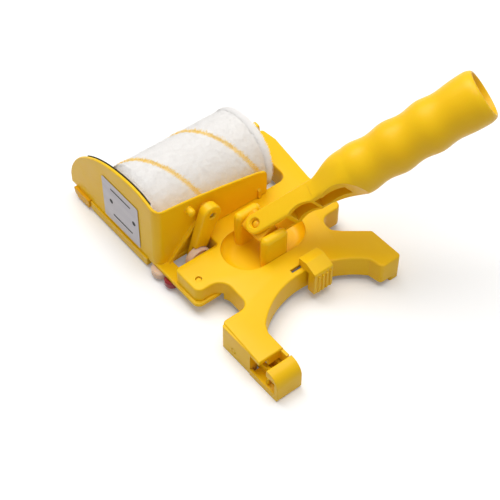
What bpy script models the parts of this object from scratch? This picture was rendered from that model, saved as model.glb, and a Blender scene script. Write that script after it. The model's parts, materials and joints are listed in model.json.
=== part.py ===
"""Edging paint roller: a yellow moulded base with a guarded roller, a small wheel arm,
side rollers, a thumb slide, a sprung foot and a hollow grip on a tilt-and-swivel joint.

Sizes are in millimetres and become metres when a mesh is made. The design frame has +X along
the roller's axis, away from the guard, +Y from the feet towards the roller, +Z up, and z = 0
on the floor. tool_frame puts the middle of the tool's floor area at the world's origin.
"""
from math import acos, atan2, cos, hypot, pi, radians, sin, sqrt, tan

import bmesh
import bpy
from mathutils import Vector

MM = 0.001
GAP = 0.3                      # clearance left between pieces that touch
FRAME_X, FRAME_Y = -45.4, -22.3  # from the design origin's floor point to the tool's middle

RIVET_X, RIVET_Y = -42.4, 1.4   # the rivet that holds the guard's deck under the base
RIVET_R = 2.0

# roller
NAP_R = 32.0
NAP_NEAR_Y = 39.5              # the cover's near side, clear of the splash wall
NAP_LIFT = 0.4                 # the cover's lowest line, above the floor
ROLLER_Y, ROLLER_Z = NAP_NEAR_Y + NAP_R, NAP_LIFT + NAP_R
NAP_IN_R = 22.3
ROLLER_X0, ROLLER_X1 = -45.4, 51.6
CORE_WALL = 1.8
CAP_THICK = 4.0
AXLE_R = 4.0
BRACKET_X = 56.6
BRACKET_THICK = 3.2

# base plate
PLATE_TOP = 22.0
PLATE_THICK = 2.4
WALL = 2.2
SKIRT_BOTTOM = 5.0
EDGE_ROUND = 1.3
MID_X = 13.0                   # the base's centre plane
LOBE_OUT = 63.0                # lobe edge, from the centre plane
NOTCH_IN = 42.3                # notch bottom, from the centre plane
BACK_Y = 18.3
LOBE_FRONT_Y = -7.6
FOOT_BACK_Y = -36.4
FOOT_END_Y = -95.6
FOOT_PLATE_END_Y = -77.0
FOOT_WALL_END_Y = -83.0        # the inner side wall runs on past the plate
FOOT_MOUTH_Z = 13.4            # top of the opening that the sprung foot's arms pass through
FOOT_OUT_X, FOOT_IN_X = -54.4, -34.4
FOOT_INSIDE_Y = -62.0
ARM_IN_X, ARM_OUT_X = 60.0, 77.4
ARM_END_Y = -66.8
ARC_Y, ARC_R = -98.4, 61.5
WINDOW_Y, WINDOW_X = 37.4, 63.0
OPENING_X = -13.5
FAR_ARM_OUT_X = 82.0
FAR_ARM_END_Y = ROLLER_Y + 15.0

# bowl and the two posts that hold the tilt block
BOWL_R = 18.6
BOWL_HALF_LEN = 13.5
BOWL_DEPTH = 8.0
PIVOT_X, PIVOT_Y, PIVOT_Z = 10.35, 1.8, 34.0
POST_LENGTH = 20.6
POST_THICK = 8.0
POST_GAP = 20.6                # clear space between the posts
POST_TOP = 42.0
POST_ROUND = 3.8
TRUNNION_R = 2.5
TRUNNION_OUT = 3.4

# tilt block, swivel pin and handle, in the handle's own frame: u along, v across, w up
TILT = 38.0
SWIVEL = 23.0
BLOCK_BACK, BLOCK_FRONT = -6.0, 8.6
SWIVEL_OFFSET = 2.1            # the swivel pin's axis, along the arm from the tilt axis
CHANNEL_BOTTOM, CHANNEL_TOP = -8.8, 11.3
EAR_THICK = 3.6
EAR_R = 7.3
PIN_R = 2.6
PIN_HEAD_R = 4.2
PIN_HEAD_THICK = 1.5
PIT_R = 3.7
SLOT_END = 21.0
WEB_INNER_V = 4.2
POCKETS = ((24.0, 41.0), (43.2, 66.0))
GRIP_AXIS_W = 1.6
GRIP_START = 44.0
GRIP_ROUND_AT = 74.0
GRIP_END = 172.0
GRIP_R = 17.1
GRIP_GROWTH = 0.9
GRIP_WAVE = 0.75
WAVE_PITCH = 26.5
FLARE_R = 18.7
MOUTH_R = 15.4
SOCKET_R = 14.0
SOCKET_DEPTH = 78.0
INSERT_WALL = 1.8
INSERT_LENGTH = 34.0

# guard: shield, splash wall and deck in one moulding
SHIELD_X = -52.0
SHIELD_THICK = 2.3
SHIELD_BOTTOM = 10.0
SHIELD_PEAK_Y, SHIELD_PEAK_Z = 60.0, 67.5
SHIELD_TIP_Y = 141.0
WALL_Y = 34.5
WALL_THICK = 1.8
WALL_CORNER_R = 6.0
WALL_CORNER_Z = 61.0
WALL_END_X = 42.5
WALL_END_Z = 44.5
DECK_BOTTOM, DECK_TOP = 8.0, 10.5
DECK_FRONT_Y = -9.6
LABEL_Y0, LABEL_Y1, LABEL_Z0, LABEL_Z1 = 54.5, 96.5, 12.2, 50.5

# wheel arm with its wheel, and the pair of trim wheels under the deck
ARM_PIVOT_X, ARM_PIVOT_Z = -12.2, 43.2
ARM_Y0, ARM_Y1 = 24.6, 31.4
ARM_TOP_R = 7.6
WHEEL_R = 9.4
WHEEL_X, WHEEL_Z = -25.4, WHEEL_R + GAP
WHEEL_AXLE_R = 2.0
TRIM_WHEEL_Z0, TRIM_WHEEL_Z1 = 1.5, 7.6
TRIM_AXLE_R = 1.5

# thumb slide and sprung foot
SLIDE_X0, SLIDE_X1 = 17.5, 33.5
HOOK_PIN_Y, HOOK_PIN_Z = -50.6, 6.6
HOOK_PIN_R = 1.8
HOOK_NOSE_Y = -84.4

SEGMENTS = 26

YELLOW = (0.90, 0.56, 0.01)
YELLOW_DEEP = (0.86, 0.42, 0.01)
CREAM = (0.86, 0.82, 0.76)
PEACH = (0.85, 0.62, 0.45)
RED = (0.32, 0.01, 0.01)
STEEL = (0.62, 0.62, 0.64)
BLACK = (0.02, 0.02, 0.02)
GREY = (0.62, 0.60, 0.64)

BRACKET_SCREW_R = 1.5
BRACKET_SCREWS = ((67.6, ROLLER_Y + 1.0), (67.6, ROLLER_Y + 8.6))
TRIM_WHEELS = (("trim_wheel_red", -49.6, 22.9, 5.2, RED),
               ("trim_wheel_pale", -49.2, 35.4, 7.0, PEACH))


# ---------------------------------------------------------------- outlines and rings

def fillet(corners, steps=4):
    """Outline through corners (x, y, radius), each turned into an arc of its radius."""
    points = []
    count = len(corners)
    for i, (x, y, radius) in enumerate(corners):
        here = Vector((x, y))
        before = (Vector(corners[i - 1][:2]) - here).normalized()
        after = (Vector(corners[(i + 1) % count][:2]) - here).normalized()
        if radius <= 0.0:
            points.append((x, y))
            continue
        half = acos(max(-1.0, min(1.0, before.dot(after)))) / 2
        centre = here + (before + after).normalized() * (radius / sin(half))
        start = here + before * (radius / tan(half)) - centre
        end = here + after * (radius / tan(half)) - centre
        turn = atan2(start.x * end.y - start.y * end.x, start.dot(end))
        for k in range(steps + 1):
            a = turn * k / steps
            points.append((centre.x + start.x * cos(a) - start.y * sin(a),
                           centre.y + start.x * sin(a) + start.y * cos(a)))
    return points


def inset(outline, distance):
    """Anticlockwise outline moved inwards by a distance, with mitred corners."""
    moved = []
    count = len(outline)
    for i, point in enumerate(outline):
        here = Vector(point)
        a = (here - Vector(outline[i - 1])).normalized()
        b = (Vector(outline[(i + 1) % count]) - here).normalized()
        normal = Vector((-a.y - b.y, a.x + b.x)).normalized()
        stretch = max(0.3, normal.dot(Vector((-a.y, a.x))))
        moved.append(tuple(here + normal * (distance / stretch)))
    return moved


def circle(radius, steps=SEGMENTS, x=0.0, y=0.0):
    return [(x + radius * cos(2 * pi * k / steps), y + radius * sin(2 * pi * k / steps))
            for k in range(steps)]


def level(outline, z):
    return [(x, y, z) for x, y in outline]


def slab(outline, bottom, top, edge=0.0, bottom_edge=0.0, steps=2):
    """Rings of an upright block whose top and bottom edges can be rounded."""
    rings = []
    if bottom_edge:
        for k in range(steps + 1):
            a = pi / 2 * k / steps
            rings.append(level(inset(outline, bottom_edge * (1 - sin(a))),
                               bottom + bottom_edge * (1 - cos(a))))
    else:
        rings.append(level(outline, bottom))
    if edge:
        for k in range(steps + 1):
            a = pi / 2 * k / steps
            rings.append(level(inset(outline, edge * (1 - cos(a))), top - edge * (1 - sin(a))))
    else:
        rings.append(level(outline, top))
    return rings


def turned(profile, steps=SEGMENTS):
    """Rings about Z for a profile of (radius, z) points."""
    return [level(circle(radius, steps), z) for radius, z in profile]


def along(rings, axis, at=(0.0, 0.0, 0.0)):
    """Rings built about Z, turned so that Z lies along X or Y, and moved to a place."""
    def place(p):
        x, y, z = p
        if axis == "X":
            x, y, z = z, x, y
        elif axis == "Y":
            x, y, z = y, z, x
        return (x + at[0], y + at[1], z + at[2])
    return [[place(p) for p in ring] for ring in rings]


def block(x0, x1, y0, y1, z0, z1):
    return [level([(x0, y0), (x1, y0), (x1, y1), (x0, y1)], z) for z in (z0, z1)]


def rounded_box(x0, x1, y0, y1, radius):
    return fillet([(x0, y0, radius), (x1, y0, radius), (x1, y1, radius), (x0, y1, radius)])


# ---------------------------------------------------------------- objects

def clear_scene():
    for old in list(bpy.data.objects):
        bpy.data.objects.remove(old, do_unlink=True)


def make_mesh(name, bodies, pivot=(0.0, 0.0, 0.0), closed=False):
    """Mesh from lists of rings: each list is one skin, capped at both ends or closed on itself."""
    bm = bmesh.new()
    for rings in bodies:
        rows = [[bm.verts.new((Vector(p) - Vector(pivot)) * MM) for p in ring] for ring in rings]
        pairs = list(zip(rows, rows[1:]))
        if closed:
            pairs.append((rows[-1], rows[0]))
        for low, high in pairs:
            count = len(low)
            for i in range(count):
                j = (i + 1) % count
                bm.faces.new((low[i], low[j], high[j], high[i]))
        if not closed:
            bm.faces.new(list(reversed(rows[0])))
            bm.faces.new(rows[-1])
    bmesh.ops.recalc_face_normals(bm, faces=bm.faces)
    mesh = bpy.data.meshes.new(name)
    bm.to_mesh(mesh)
    bm.free()
    mesh.shade_smooth()
    mesh.set_sharp_from_angle(angle=radians(32))
    return mesh


def material(name, colour, roughness, metallic=0.0):
    made = bpy.data.materials.new(name)
    made.use_nodes = True
    shader = made.node_tree.nodes["Principled BSDF"]
    shader.inputs["Base Color"].default_value = (*colour, 1.0)
    shader.inputs["Roughness"].default_value = roughness
    shader.inputs["Metallic"].default_value = metallic
    return made


def add(name, mesh, parent, pivot=(0.0, 0.0, 0.0)):
    piece = bpy.data.objects.new(name, mesh)
    bpy.context.scene.collection.objects.link(piece)
    piece.parent = parent
    piece.location = Vector(pivot) * MM
    return piece


def node(name, bodies, parent, finish, pivot=(0.0, 0.0, 0.0), closed=False):
    """A sub-part: its mesh, its own material and its origin at the pivot."""
    mesh = make_mesh(name, bodies, pivot, closed)
    mesh.materials.append(material(name, *finish))
    return add(name, mesh, parent, pivot)


def shape(piece, operation, rings, closed=False):
    """Join a solid to a piece, or cut one from it."""
    tool = add(piece.name + "_tool", make_mesh(piece.name + "_tool", [rings], closed=closed),
               piece.parent)
    tool.hide_render = True
    tool.display_type = "WIRE"
    change = piece.modifiers.new(operation.title(), "BOOLEAN")
    change.operation = operation
    change.solver = "EXACT"
    change.object = tool
    return tool


def join(piece, rings, closed=False):
    return shape(piece, "UNION", rings, closed)


def cut(piece, rings, closed=False):
    return shape(piece, "DIFFERENCE", rings, closed)


def empty(name, parent, location, rotation=(0.0, 0.0, 0.0)):
    made = bpy.data.objects.new(name, None)
    bpy.context.scene.collection.objects.link(made)
    made.parent = parent
    made.location = Vector(location) * MM
    made.rotation_euler = rotation
    return made


# ---------------------------------------------------------------- base

def base_outline():
    """Plan of the base plate, anticlockwise from the left lobe's back corner."""
    left = MID_X - LOBE_OUT
    right = MID_X + LOBE_OUT
    notch_left = MID_X - NOTCH_IN
    notch_right = MID_X + NOTCH_IN
    corners = [
        (left, BACK_Y, 4.0),
        (left, LOBE_FRONT_Y, 5.0),
        (notch_left, LOBE_FRONT_Y, 10.0),
        (notch_left - 1.0, FOOT_BACK_Y, 7.0),
        (FOOT_OUT_X + 2.2, FOOT_BACK_Y, 3.0),
        (FOOT_OUT_X, FOOT_PLATE_END_Y, 0.0),
        (FOOT_IN_X, FOOT_PLATE_END_Y, 0.0),
        (FOOT_IN_X + 0.3, FOOT_INSIDE_Y, 3.0),
    ]
    start = acos((FOOT_IN_X + 3.0 - MID_X) / ARC_R)
    end = acos((ARM_IN_X - 2.0 - MID_X) / ARC_R)
    steps = 14
    for k in range(steps + 1):
        a = start + (end - start) * k / steps
        corners.append((MID_X + ARC_R * cos(a), ARC_Y + ARC_R * sin(a), 0.0))
    corners += [
        (ARM_IN_X, ARM_END_Y, 2.8),
        (ARM_OUT_X, ARM_END_Y, 2.8),
        (ARM_OUT_X - 0.5, FOOT_BACK_Y - 1.5, 3.0),
        (notch_right + 5.6, LOBE_FRONT_Y - 17.6, 5.0),
        (notch_right, LOBE_FRONT_Y - 12.0, 4.0),
        (notch_right, LOBE_FRONT_Y, 8.0),
        (right, LOBE_FRONT_Y, 5.0),
        (right, BACK_Y + 10.0, 4.0),
        (FAR_ARM_OUT_X, FAR_ARM_END_Y - 14.0, 6.0),
        (FAR_ARM_OUT_X - 1.5, FAR_ARM_END_Y, 3.0),
        (WINDOW_X + 2.0, FAR_ARM_END_Y, 3.0),
        (WINDOW_X, WINDOW_Y, 7.0),
        (OPENING_X, WINDOW_Y, 0.0),
        (OPENING_X, BACK_Y, 1.5),
    ]
    return fillet(corners)


def stadium(radius, half_length, steps=9):
    """Outline with round ends along X, about the bowl's centre."""
    right = [(half_length + radius * cos(a), radius * sin(a))
             for a in [-pi / 2 + pi * k / steps for k in range(steps + 1)]]
    left = [(-half_length + radius * cos(a), radius * sin(a))
            for a in [pi / 2 + pi * k / steps for k in range(steps + 1)]]
    return [(MID_X + x, PIVOT_Y + y) for x, y in right + left]


def bowl_rings(grow, top):
    """The bowl's surface as stacked stadiums that curve in towards its floor."""
    rings = []
    steps = 4
    for k in range(steps + 1):
        a = pi / 2 * k / steps
        radius = BOWL_R + grow - (BOWL_R * 0.42) * (1 - sin(a))
        z = PLATE_TOP - BOWL_DEPTH - grow + (BOWL_DEPTH + grow) * (1 - cos(a))
        rings.append(level(stadium(radius, BOWL_HALF_LEN), z))
    rings.append(level(stadium(BOWL_R + grow, BOWL_HALF_LEN), top))
    return rings


def post_outline(side):
    """Plan of a pivot post: side is -1 for the front one and +1 for the back one."""
    near = PIVOT_Y + side * POST_GAP / 2
    far = near + side * POST_THICK
    return rounded_box(PIVOT_X - POST_LENGTH / 2, PIVOT_X + POST_LENGTH / 2,
                       min(near, far), max(near, far), POST_ROUND + 0.05)


def base_shell(parent):
    outline = base_outline()
    shell = node("base_shell", [slab(outline, SKIRT_BOTTOM, PLATE_TOP, EDGE_ROUND)],
                 parent, (YELLOW, 0.38))
    foot_pads = (
        (FOOT_OUT_X + 0.4, FOOT_OUT_X + 6.4, FOOT_PLATE_END_Y + 0.5, FOOT_BACK_Y - 2.0),
        (ARM_OUT_X - 8.0, ARM_OUT_X - 0.4, ARM_END_Y + 0.5, ARM_END_Y + 22.0),
        (FAR_ARM_OUT_X - 8.0, FAR_ARM_OUT_X - 2.4, FAR_ARM_END_Y - 30.0, FAR_ARM_END_Y - 6.0),
    )
    cut(shell, [level(inset(outline, WALL), z)
                for z in (SKIRT_BOTTOM - 1.0, PLATE_TOP - PLATE_THICK)])
    for x0, x1, y0, y1 in foot_pads:
        join(shell, slab(rounded_box(x0, x1, y0, y1, 1.5), 0.0, PLATE_TOP - 1.0))
    for x0, x1, y0, y1 in ((-28.0, 54.0, -21.9, -20.3), (-12.0, -10.4, -40.0, 36.0),
                           (43.0, 44.6, -42.0, 36.0), (64.0, 79.0, 50.0, 51.6)):
        join(shell, block(x0, x1, y0, y1, SKIRT_BOTTOM + 3.0, PLATE_TOP - 1.0))
    join(shell, bowl_rings(PLATE_THICK, PLATE_TOP - 0.8))
    cut(shell, bowl_rings(0.0, PLATE_TOP + 1.0))
    for side in (-1, 1):
        join(shell, slab(post_outline(side), PLATE_TOP - BOWL_DEPTH - 1.0, POST_TOP,
                         POST_ROUND, steps=4))
    reach = POST_GAP / 2 + TRUNNION_OUT + GAP
    bore = [level(circle(TRUNNION_R + GAP, 20), z) for z in (-reach, reach)]
    cut(shell, along(bore, "Y", (PIVOT_X, PIVOT_Y, PIVOT_Z)))
    # room for the guard's deck under the left lobe, and for the slide and the sprung foot
    cut(shell, block(MID_X - LOBE_OUT - 5.0, OPENING_X - 0.8, DECK_FRONT_Y - 2.0, BACK_Y + 5.0,
                     SKIRT_BOTTOM - 2.0, DECK_TOP + GAP))
    cut(shell, block(SLIDE_X0 - 8.0, SLIDE_X1, -33.4, -30.6, SKIRT_BOTTOM, PLATE_TOP + 2.0))
    cut(shell, block(FOOT_OUT_X + WALL, FOOT_IN_X - WALL, FOOT_PLATE_END_Y - 2.0,
                     FOOT_PLATE_END_Y + 4.0, -1.0, FOOT_MOUTH_Z))
    join(shell, block(FOOT_IN_X - WALL, FOOT_IN_X, FOOT_WALL_END_Y, FOOT_PLATE_END_Y + 3.0, 0.8,
                      PLATE_TOP - 1.4))
    cut(shell, block(FOOT_OUT_X - 1.0, FOOT_OUT_X + 8.0, FOOT_PLATE_END_Y - 2.0, -67.5, -1.0,
                     PLATE_TOP - PLATE_THICK - 0.6))
    pin = [level(circle(HOOK_PIN_R + GAP, 16), z) for z in (FOOT_OUT_X - 2.0, FOOT_IN_X - 0.9)]
    cut(shell, along(pin, "X", (0.0, HOOK_PIN_Y, HOOK_PIN_Z)))
    rivet = [level(circle(RIVET_R + GAP, 16), z) for z in (DECK_TOP, PLATE_TOP + 1.0)]
    cut(shell, along(rivet, "Z", (RIVET_X, RIVET_Y, 0.0)))
    for x, y in BRACKET_SCREWS:
        cut(shell, along([level(circle(BRACKET_SCREW_R + GAP, 12), z)
                           for z in (8.0, PLATE_TOP + 1.0)], "Z",
                         (x, y, 0.0)))
    return shell


def guard_rivet(parent):
    rings = turned([(3.6, DECK_BOTTOM - 1.6), (3.6, DECK_BOTTOM - GAP),
                    (RIVET_R, DECK_BOTTOM - GAP), (RIVET_R, PLATE_TOP - 1.4),
                    (RIVET_R - 0.6, PLATE_TOP - 0.9)], 20)
    node("guard_rivet", [along(rings, "Z", (RIVET_X, RIVET_Y, 0.0))], parent, (YELLOW, 0.4))


# ---------------------------------------------------------------- guard

def shield_top(y):
    """Height of the shield's arched top edge at a distance y."""
    reach = SHIELD_TIP_Y - SHIELD_PEAK_Y if y > SHIELD_PEAK_Y else 54.0
    rise = SHIELD_PEAK_Z - SHIELD_BOTTOM
    return SHIELD_BOTTOM + rise * sqrt(max(0.0, 1 - ((y - SHIELD_PEAK_Y) / reach) ** 2))


def wall_top(x):
    """Height of the splash wall's sloping top edge."""
    share = (x - SHIELD_X) / (WALL_END_X - SHIELD_X)
    return WALL_CORNER_Z + (WALL_END_Z - WALL_CORNER_Z) * share ** 1.35


def guard_path():
    """Stations (x, y, nx, ny, top): the shield from its tip, the corner, then the wall."""
    stations = []
    steps = 15
    for k in range(steps + 1):
        a = radians(8) + radians(82) * k / steps
        y = SHIELD_PEAK_Y + (SHIELD_TIP_Y - SHIELD_PEAK_Y) * cos(a)
        stations.append((SHIELD_X, y, 1.0, 0.0, shield_top(y)))
    for y in (54.0, 48.0, 44.0):
        stations.append((SHIELD_X, y, 1.0, 0.0, shield_top(y)))
    corner_top = shield_top(WALL_Y + WALL_CORNER_R)
    for k in range(7):
        a = pi / 2 * k / 6
        top = corner_top + (wall_top(SHIELD_X + WALL_CORNER_R) - corner_top) * k / 6
        stations.append((SHIELD_X + WALL_CORNER_R * (1 - cos(a)),
                         WALL_Y + WALL_CORNER_R * (1 - sin(a)), cos(a), sin(a), top))
    for x in (-38.0, -26.0, OPENING_X - 1.1, OPENING_X - 0.7, 2.0, 16.0, 28.0, 36.0):
        stations.append((x, WALL_Y, 0.0, 1.0, wall_top(x)))
    for k in range(5):
        a = pi / 2 * k / 4
        stations.append((WALL_END_X - 4.0 + 4.0 * sin(a), WALL_Y, 0.0, 1.0,
                         WALL_END_Z - 4.0 + 4.0 * cos(a)))
    return stations


def wall_bottom(x, y):
    """The wall stands on the deck at the left and on the base plate at the right."""
    if y > WALL_Y + 0.5 or x < OPENING_X - 1.0:
        return SHIELD_BOTTOM - 1.0
    return PLATE_TOP + GAP


def guard_ribbon():
    rings = []
    for x, y, nx, ny, top in guard_path():
        thick = SHIELD_THICK if y > WALL_Y + 1.0 else WALL_THICK
        low = wall_bottom(x, y)
        crown = min(0.6, (top - low) / 3)
        section = ((0.0, low), (0.0, top - crown), (thick * 0.3, top), (thick * 0.7, top),
                   (thick, top - crown), (thick, low))
        rings.append([(x + nx * d, y + ny * d, z) for d, z in section])
    return rings


def deck_outline():
    """Plan of the deck: from the shield's foot to under the left lobe."""
    return fillet([
        (SHIELD_X, 46.0, 0.0),
        (SHIELD_X, DECK_FRONT_Y, 5.0),
        (-31.5, DECK_FRONT_Y, 8.0),
        (-27.5, -6.0, 3.0),
        (OPENING_X - 1.1, -2.0, 2.0),
        (OPENING_X - 1.1, WALL_Y + WALL_THICK, 0.0),
        (SHIELD_X + 9.0, WALL_Y + WALL_THICK, 1.0),
        (SHIELD_X + SHIELD_THICK + 1.0, 46.0, 0.0),
    ])


def guard_shell(parent):
    shell = node("guard_shell", [guard_ribbon()], parent, (YELLOW, 0.36))
    join(shell, slab(deck_outline(), DECK_BOTTOM, DECK_TOP, 0.5, steps=2))
    # opening in the deck for the arm and its wheel
    cut(shell, block(-41.4, OPENING_X - 2.1, 19.6, 33.8, DECK_BOTTOM - 1.0, DECK_TOP + 1.0))
    # gusset from the wall down to the deck, and the rib at the wall's far end
    brace = [(-20.6, PLATE_TOP + 14.0), (-18.2, PLATE_TOP + 14.0), (-41.2, DECK_TOP - 0.5),
             (-45.0, DECK_TOP - 0.5)]
    join(shell, [[(x, y, z) for x, z in brace] for y in (WALL_Y + 0.4, WALL_Y - 2.4)])
    rib = [(WALL_Y + 0.4, PLATE_TOP + GAP), (WALL_Y + 0.4, PLATE_TOP + 9.0),
           (WALL_Y - 1.6, PLATE_TOP + 7.5), (WALL_Y - 1.6, PLATE_TOP + GAP)]
    join(shell, [[(x, y, z) for y, z in rib] for x in (34.0, 36.2)])
    # pivot boss of the wheel arm, and a round stop beside it
    boss = turned([(4.6, -0.8), (4.6, WALL_Y - ARM_Y1 - GAP)], 20)
    join(shell, along(boss, "Y", (ARM_PIVOT_X, ARM_Y1 + GAP + 0.8, ARM_PIVOT_Z)))
    stop = turned([(1.2, -6.2), (2.4, -5.4), (2.8, -4.0), (2.8, 0.8)], 20)
    join(shell, along(stop, "Y", (-25.5, WALL_Y, 50.5)))
    # boss for the roller's axle, on the shield's inner face
    boss = turned([(8.5, -0.8), (8.5, 1.6), (7.5, 2.6)], 24)
    join(shell, along(boss, "X", (SHIELD_X + SHIELD_THICK, ROLLER_Y, ROLLER_Z)))
    bore = [level(circle(AXLE_R + GAP, 20), z) for z in (SHIELD_X + 1.2, ROLLER_X0)]
    cut(shell, along(bore, "X", (0.0, ROLLER_Y, ROLLER_Z)))
    pivot = [level(circle(2.0 + GAP, 16), z) for z in (ARM_Y1 - 1.0, WALL_Y + WALL_THICK + 1.0)]
    cut(shell, along(pivot, "Y", (ARM_PIVOT_X, 0.0, ARM_PIVOT_Z)))
    rivet = [level(circle(RIVET_R + GAP, 16), z) for z in (DECK_BOTTOM - 1.0, DECK_TOP + 1.0)]
    cut(shell, along(rivet, "Z", (RIVET_X, RIVET_Y, 0.0)))
    for _, x, y, _, _ in TRIM_WHEELS:
        hole = [level(circle(TRIM_AXLE_R + GAP, 12), z) for z in (DECK_BOTTOM - 1.0, 10.2)]
        cut(shell, along(hole, "Z", (x, y, 0.0)))
    return shell


def shield_seal(parent):
    """Thin black lip along the inner side of the shield's arched edge."""
    rings = []
    steps = 16
    for k in range(steps + 1):
        y = 118.0 - (118.0 - 43.0) * k / steps
        top = shield_top(y) + 0.3
        x0 = SHIELD_X + SHIELD_THICK + GAP
        rings.append([(x0, y, top - 4.0), (x0, y, top), (x0 + 0.7, y, top),
                      (x0 + 0.7, y, top - 4.0)])
    node("shield_seal", [rings], parent, (BLACK, 0.6))


def guard_label(parent):
    outline = rounded_box(LABEL_Y0, LABEL_Y1, LABEL_Z0, LABEL_Z1, 1.2)
    x0 = SHIELD_X - GAP - 0.4
    node("guard_label", [[[(x, y, z) for y, z in outline] for x in (x0, x0 + 0.4)]], parent,
         (GREY, 0.45))


def guide_bar(parent):
    """Runner along the shield's foot, with a ribbed glide behind its tip."""
    top = SHIELD_BOTTOM - 1.0 - GAP
    side = [(46.4, 2.4), (49.4, 1.4), (112.0, 1.4), (115.0, 3.0), (115.0, top), (46.4, top)]
    node("guide_bar", [[[(x, y, z) for y, z in side] for x in (SHIELD_X - 1.2, SHIELD_X + 3.0)]],
         parent, (YELLOW, 0.4))
    glide = [(116.0, top), (116.0, 2.4)]
    teeth = 5
    pitch = 3.0
    for k in range(teeth):
        y = 116.0 + pitch * k
        glide += [(y + 0.9, 1.4), (y + 1.9, 1.4), (y + pitch, 3.0)]
    glide += [(133.5, 4.6), (134.5, top)]
    node("tip_glide", [[[(x, y, z) for y, z in glide] for x in (SHIELD_X - 2.4, SHIELD_X + 3.6)]],
         parent, (YELLOW_DEEP, 0.42))


# ---------------------------------------------------------------- roller

def roller(parent):
    centre = (0.0, ROLLER_Y, ROLLER_Z)
    pivot = (ROLLER_X0, ROLLER_Y, ROLLER_Z)
    x0, x1 = ROLLER_X0, ROLLER_X1
    lip = 4.0
    nap = turned([(NAP_IN_R, x0), (NAP_R - lip, x0), (NAP_R - 1.2, x0 + 1.2), (NAP_R, x0 + lip),
                  (NAP_R, x1 - lip), (NAP_R - 1.2, x1 - 1.2), (NAP_R - lip, x1),
                  (NAP_IN_R, x1)], 36)
    node("roller_nap", [along(nap, "X", centre)], parent, (CREAM, 0.95), pivot, closed=True)
    core_r = NAP_IN_R - GAP
    core = turned([(core_r - CORE_WALL, x0 + 0.6), (core_r, x0 + 0.6), (core_r, x1 - 0.6),
                   (core_r - CORE_WALL, x1 - 0.6)], 36)
    node("roller_core", [along(core, "X", centre)], parent, (CREAM, 0.5), pivot, closed=True)
    plug_r = core_r - CORE_WALL - GAP
    bore = AXLE_R + GAP
    hub_r = bore + 2.2
    for name, outer, inner in (("roller_cap_near", x0 + 1.2, 1.0), ("roller_cap_far", x1 - 1.2, -1.0)):
        cap = [(bore, outer), (plug_r, outer), (plug_r, outer + inner * CAP_THICK),
               (plug_r - 1.6, outer + inner * (CAP_THICK + 6.0)),
               (plug_r - 3.2, outer + inner * (CAP_THICK + 6.0)),
               (plug_r - 3.2, outer + inner * 2.2), (hub_r, outer + inner * 2.2),
               (hub_r, outer + inner * (CAP_THICK + 8.0)),
               (bore, outer + inner * (CAP_THICK + 8.0))]
        if inner < 0:
            cap.reverse()
        node(name, [along(turned(cap), "X", centre)], parent, (YELLOW_DEEP, 0.45), pivot,
             closed=True)


def roller_mount(parent):
    centre = (0.0, ROLLER_Y, ROLLER_Z)
    x_end = BRACKET_X + BRACKET_THICK + 3.6
    axle = turned([(AXLE_R - 0.5, SHIELD_X + 1.5), (AXLE_R, SHIELD_X + 2.0),
                   (AXLE_R, x_end - 0.5), (AXLE_R - 0.5, x_end)], 24)
    node("roller_axle", [along(axle, "X", centre)], parent, (STEEL, 0.3, 1.0))
    # bracket that holds the axle's far end: an upright plate and a flange on the far arm
    plate = fillet([(ROLLER_Y - 11.0, PLATE_TOP + 0.6, 1.0), (ROLLER_Y + 12.0, PLATE_TOP + 0.6, 1.0),
                    (ROLLER_Y + 9.0, ROLLER_Z + 8.0, 6.0), (ROLLER_Y - 2.0, ROLLER_Z + 21.8, 1.6),
                    (ROLLER_Y - 7.0, ROLLER_Z + 21.8, 1.6), (ROLLER_Y - 9.0, ROLLER_Z + 8.0, 4.0)])
    x0, x1 = BRACKET_X, BRACKET_X + BRACKET_THICK
    bracket = node("far_bracket", [[[(x, y, z) for y, z in plate] for x in (x0, x1)]], parent,
                   (YELLOW, 0.38))
    join(bracket, slab(rounded_box(x0 + 0.5, 71.2, ROLLER_Y - 3.2, ROLLER_Y + 12.0, 2.0),
                       PLATE_TOP + GAP, PLATE_TOP + 2.8, 0.6, steps=2))
    bore = [level(circle(AXLE_R + GAP, 20), z) for z in (x0 - 1.0, x1 + 1.0)]
    cut(bracket, along(bore, "X", centre))
    for x, y in BRACKET_SCREWS:
        hole = [level(circle(BRACKET_SCREW_R + GAP, 12), z) for z in (PLATE_TOP - 1.0, PLATE_TOP + 4.0)]
        cut(bracket, along(hole, "Z", (x, y, 0.0)))
    clip_x = x1 + GAP
    clip = turned([(AXLE_R + 1.0, clip_x), (AXLE_R + 3.8, clip_x), (AXLE_R + 3.8, clip_x + 1.6),
                   (AXLE_R + 1.0, clip_x + 1.6)], 6)
    node("axle_clip", [along(clip, "X", centre)], parent, (STEEL, 0.35, 1.0), closed=True)
    top = PLATE_TOP + 2.8 + GAP
    screw = turned([(1.0, 10.0), (BRACKET_SCREW_R, 11.5), (BRACKET_SCREW_R, top), (3.0, top),
                    (3.0, top + 0.8),
                    (2.0, top + 1.7)], 16)
    for name, (x, y) in zip(("bracket_screw_front", "bracket_screw_rear"), BRACKET_SCREWS):
        node(name, [along(screw, "Z", (x, y, 0.0))], parent, (STEEL, 0.35, 1.0))


# ---------------------------------------------------------------- wheel arm and side rollers

def capsule(ax, az, ar, bx, bz, br, steps=12):
    """Anticlockwise outline around two circles of a link, in (x, z)."""
    heading = atan2(bz - az, bx - ax)
    lean = acos((ar - br) / hypot(bx - ax, bz - az))
    points = []
    for k in range(steps + 1):
        a = heading + lean + (2 * pi - 2 * lean) * k / steps
        points.append((ax + ar * cos(a), az + ar * sin(a)))
    for k in range(steps + 1):
        a = heading - lean + 2 * lean * k / steps
        points.append((bx + br * cos(a), bz + br * sin(a)))
    return points


def upright(outline, y0, y1, edge=0.0):
    """Rings of a solid whose side view (x, z) runs from y0 to y1, with a rounded near edge."""
    rings = slab(outline, -y1, -y0, edge, steps=3)
    return [[(x, -z, y) for x, y, z in ring] for ring in rings]


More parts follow.
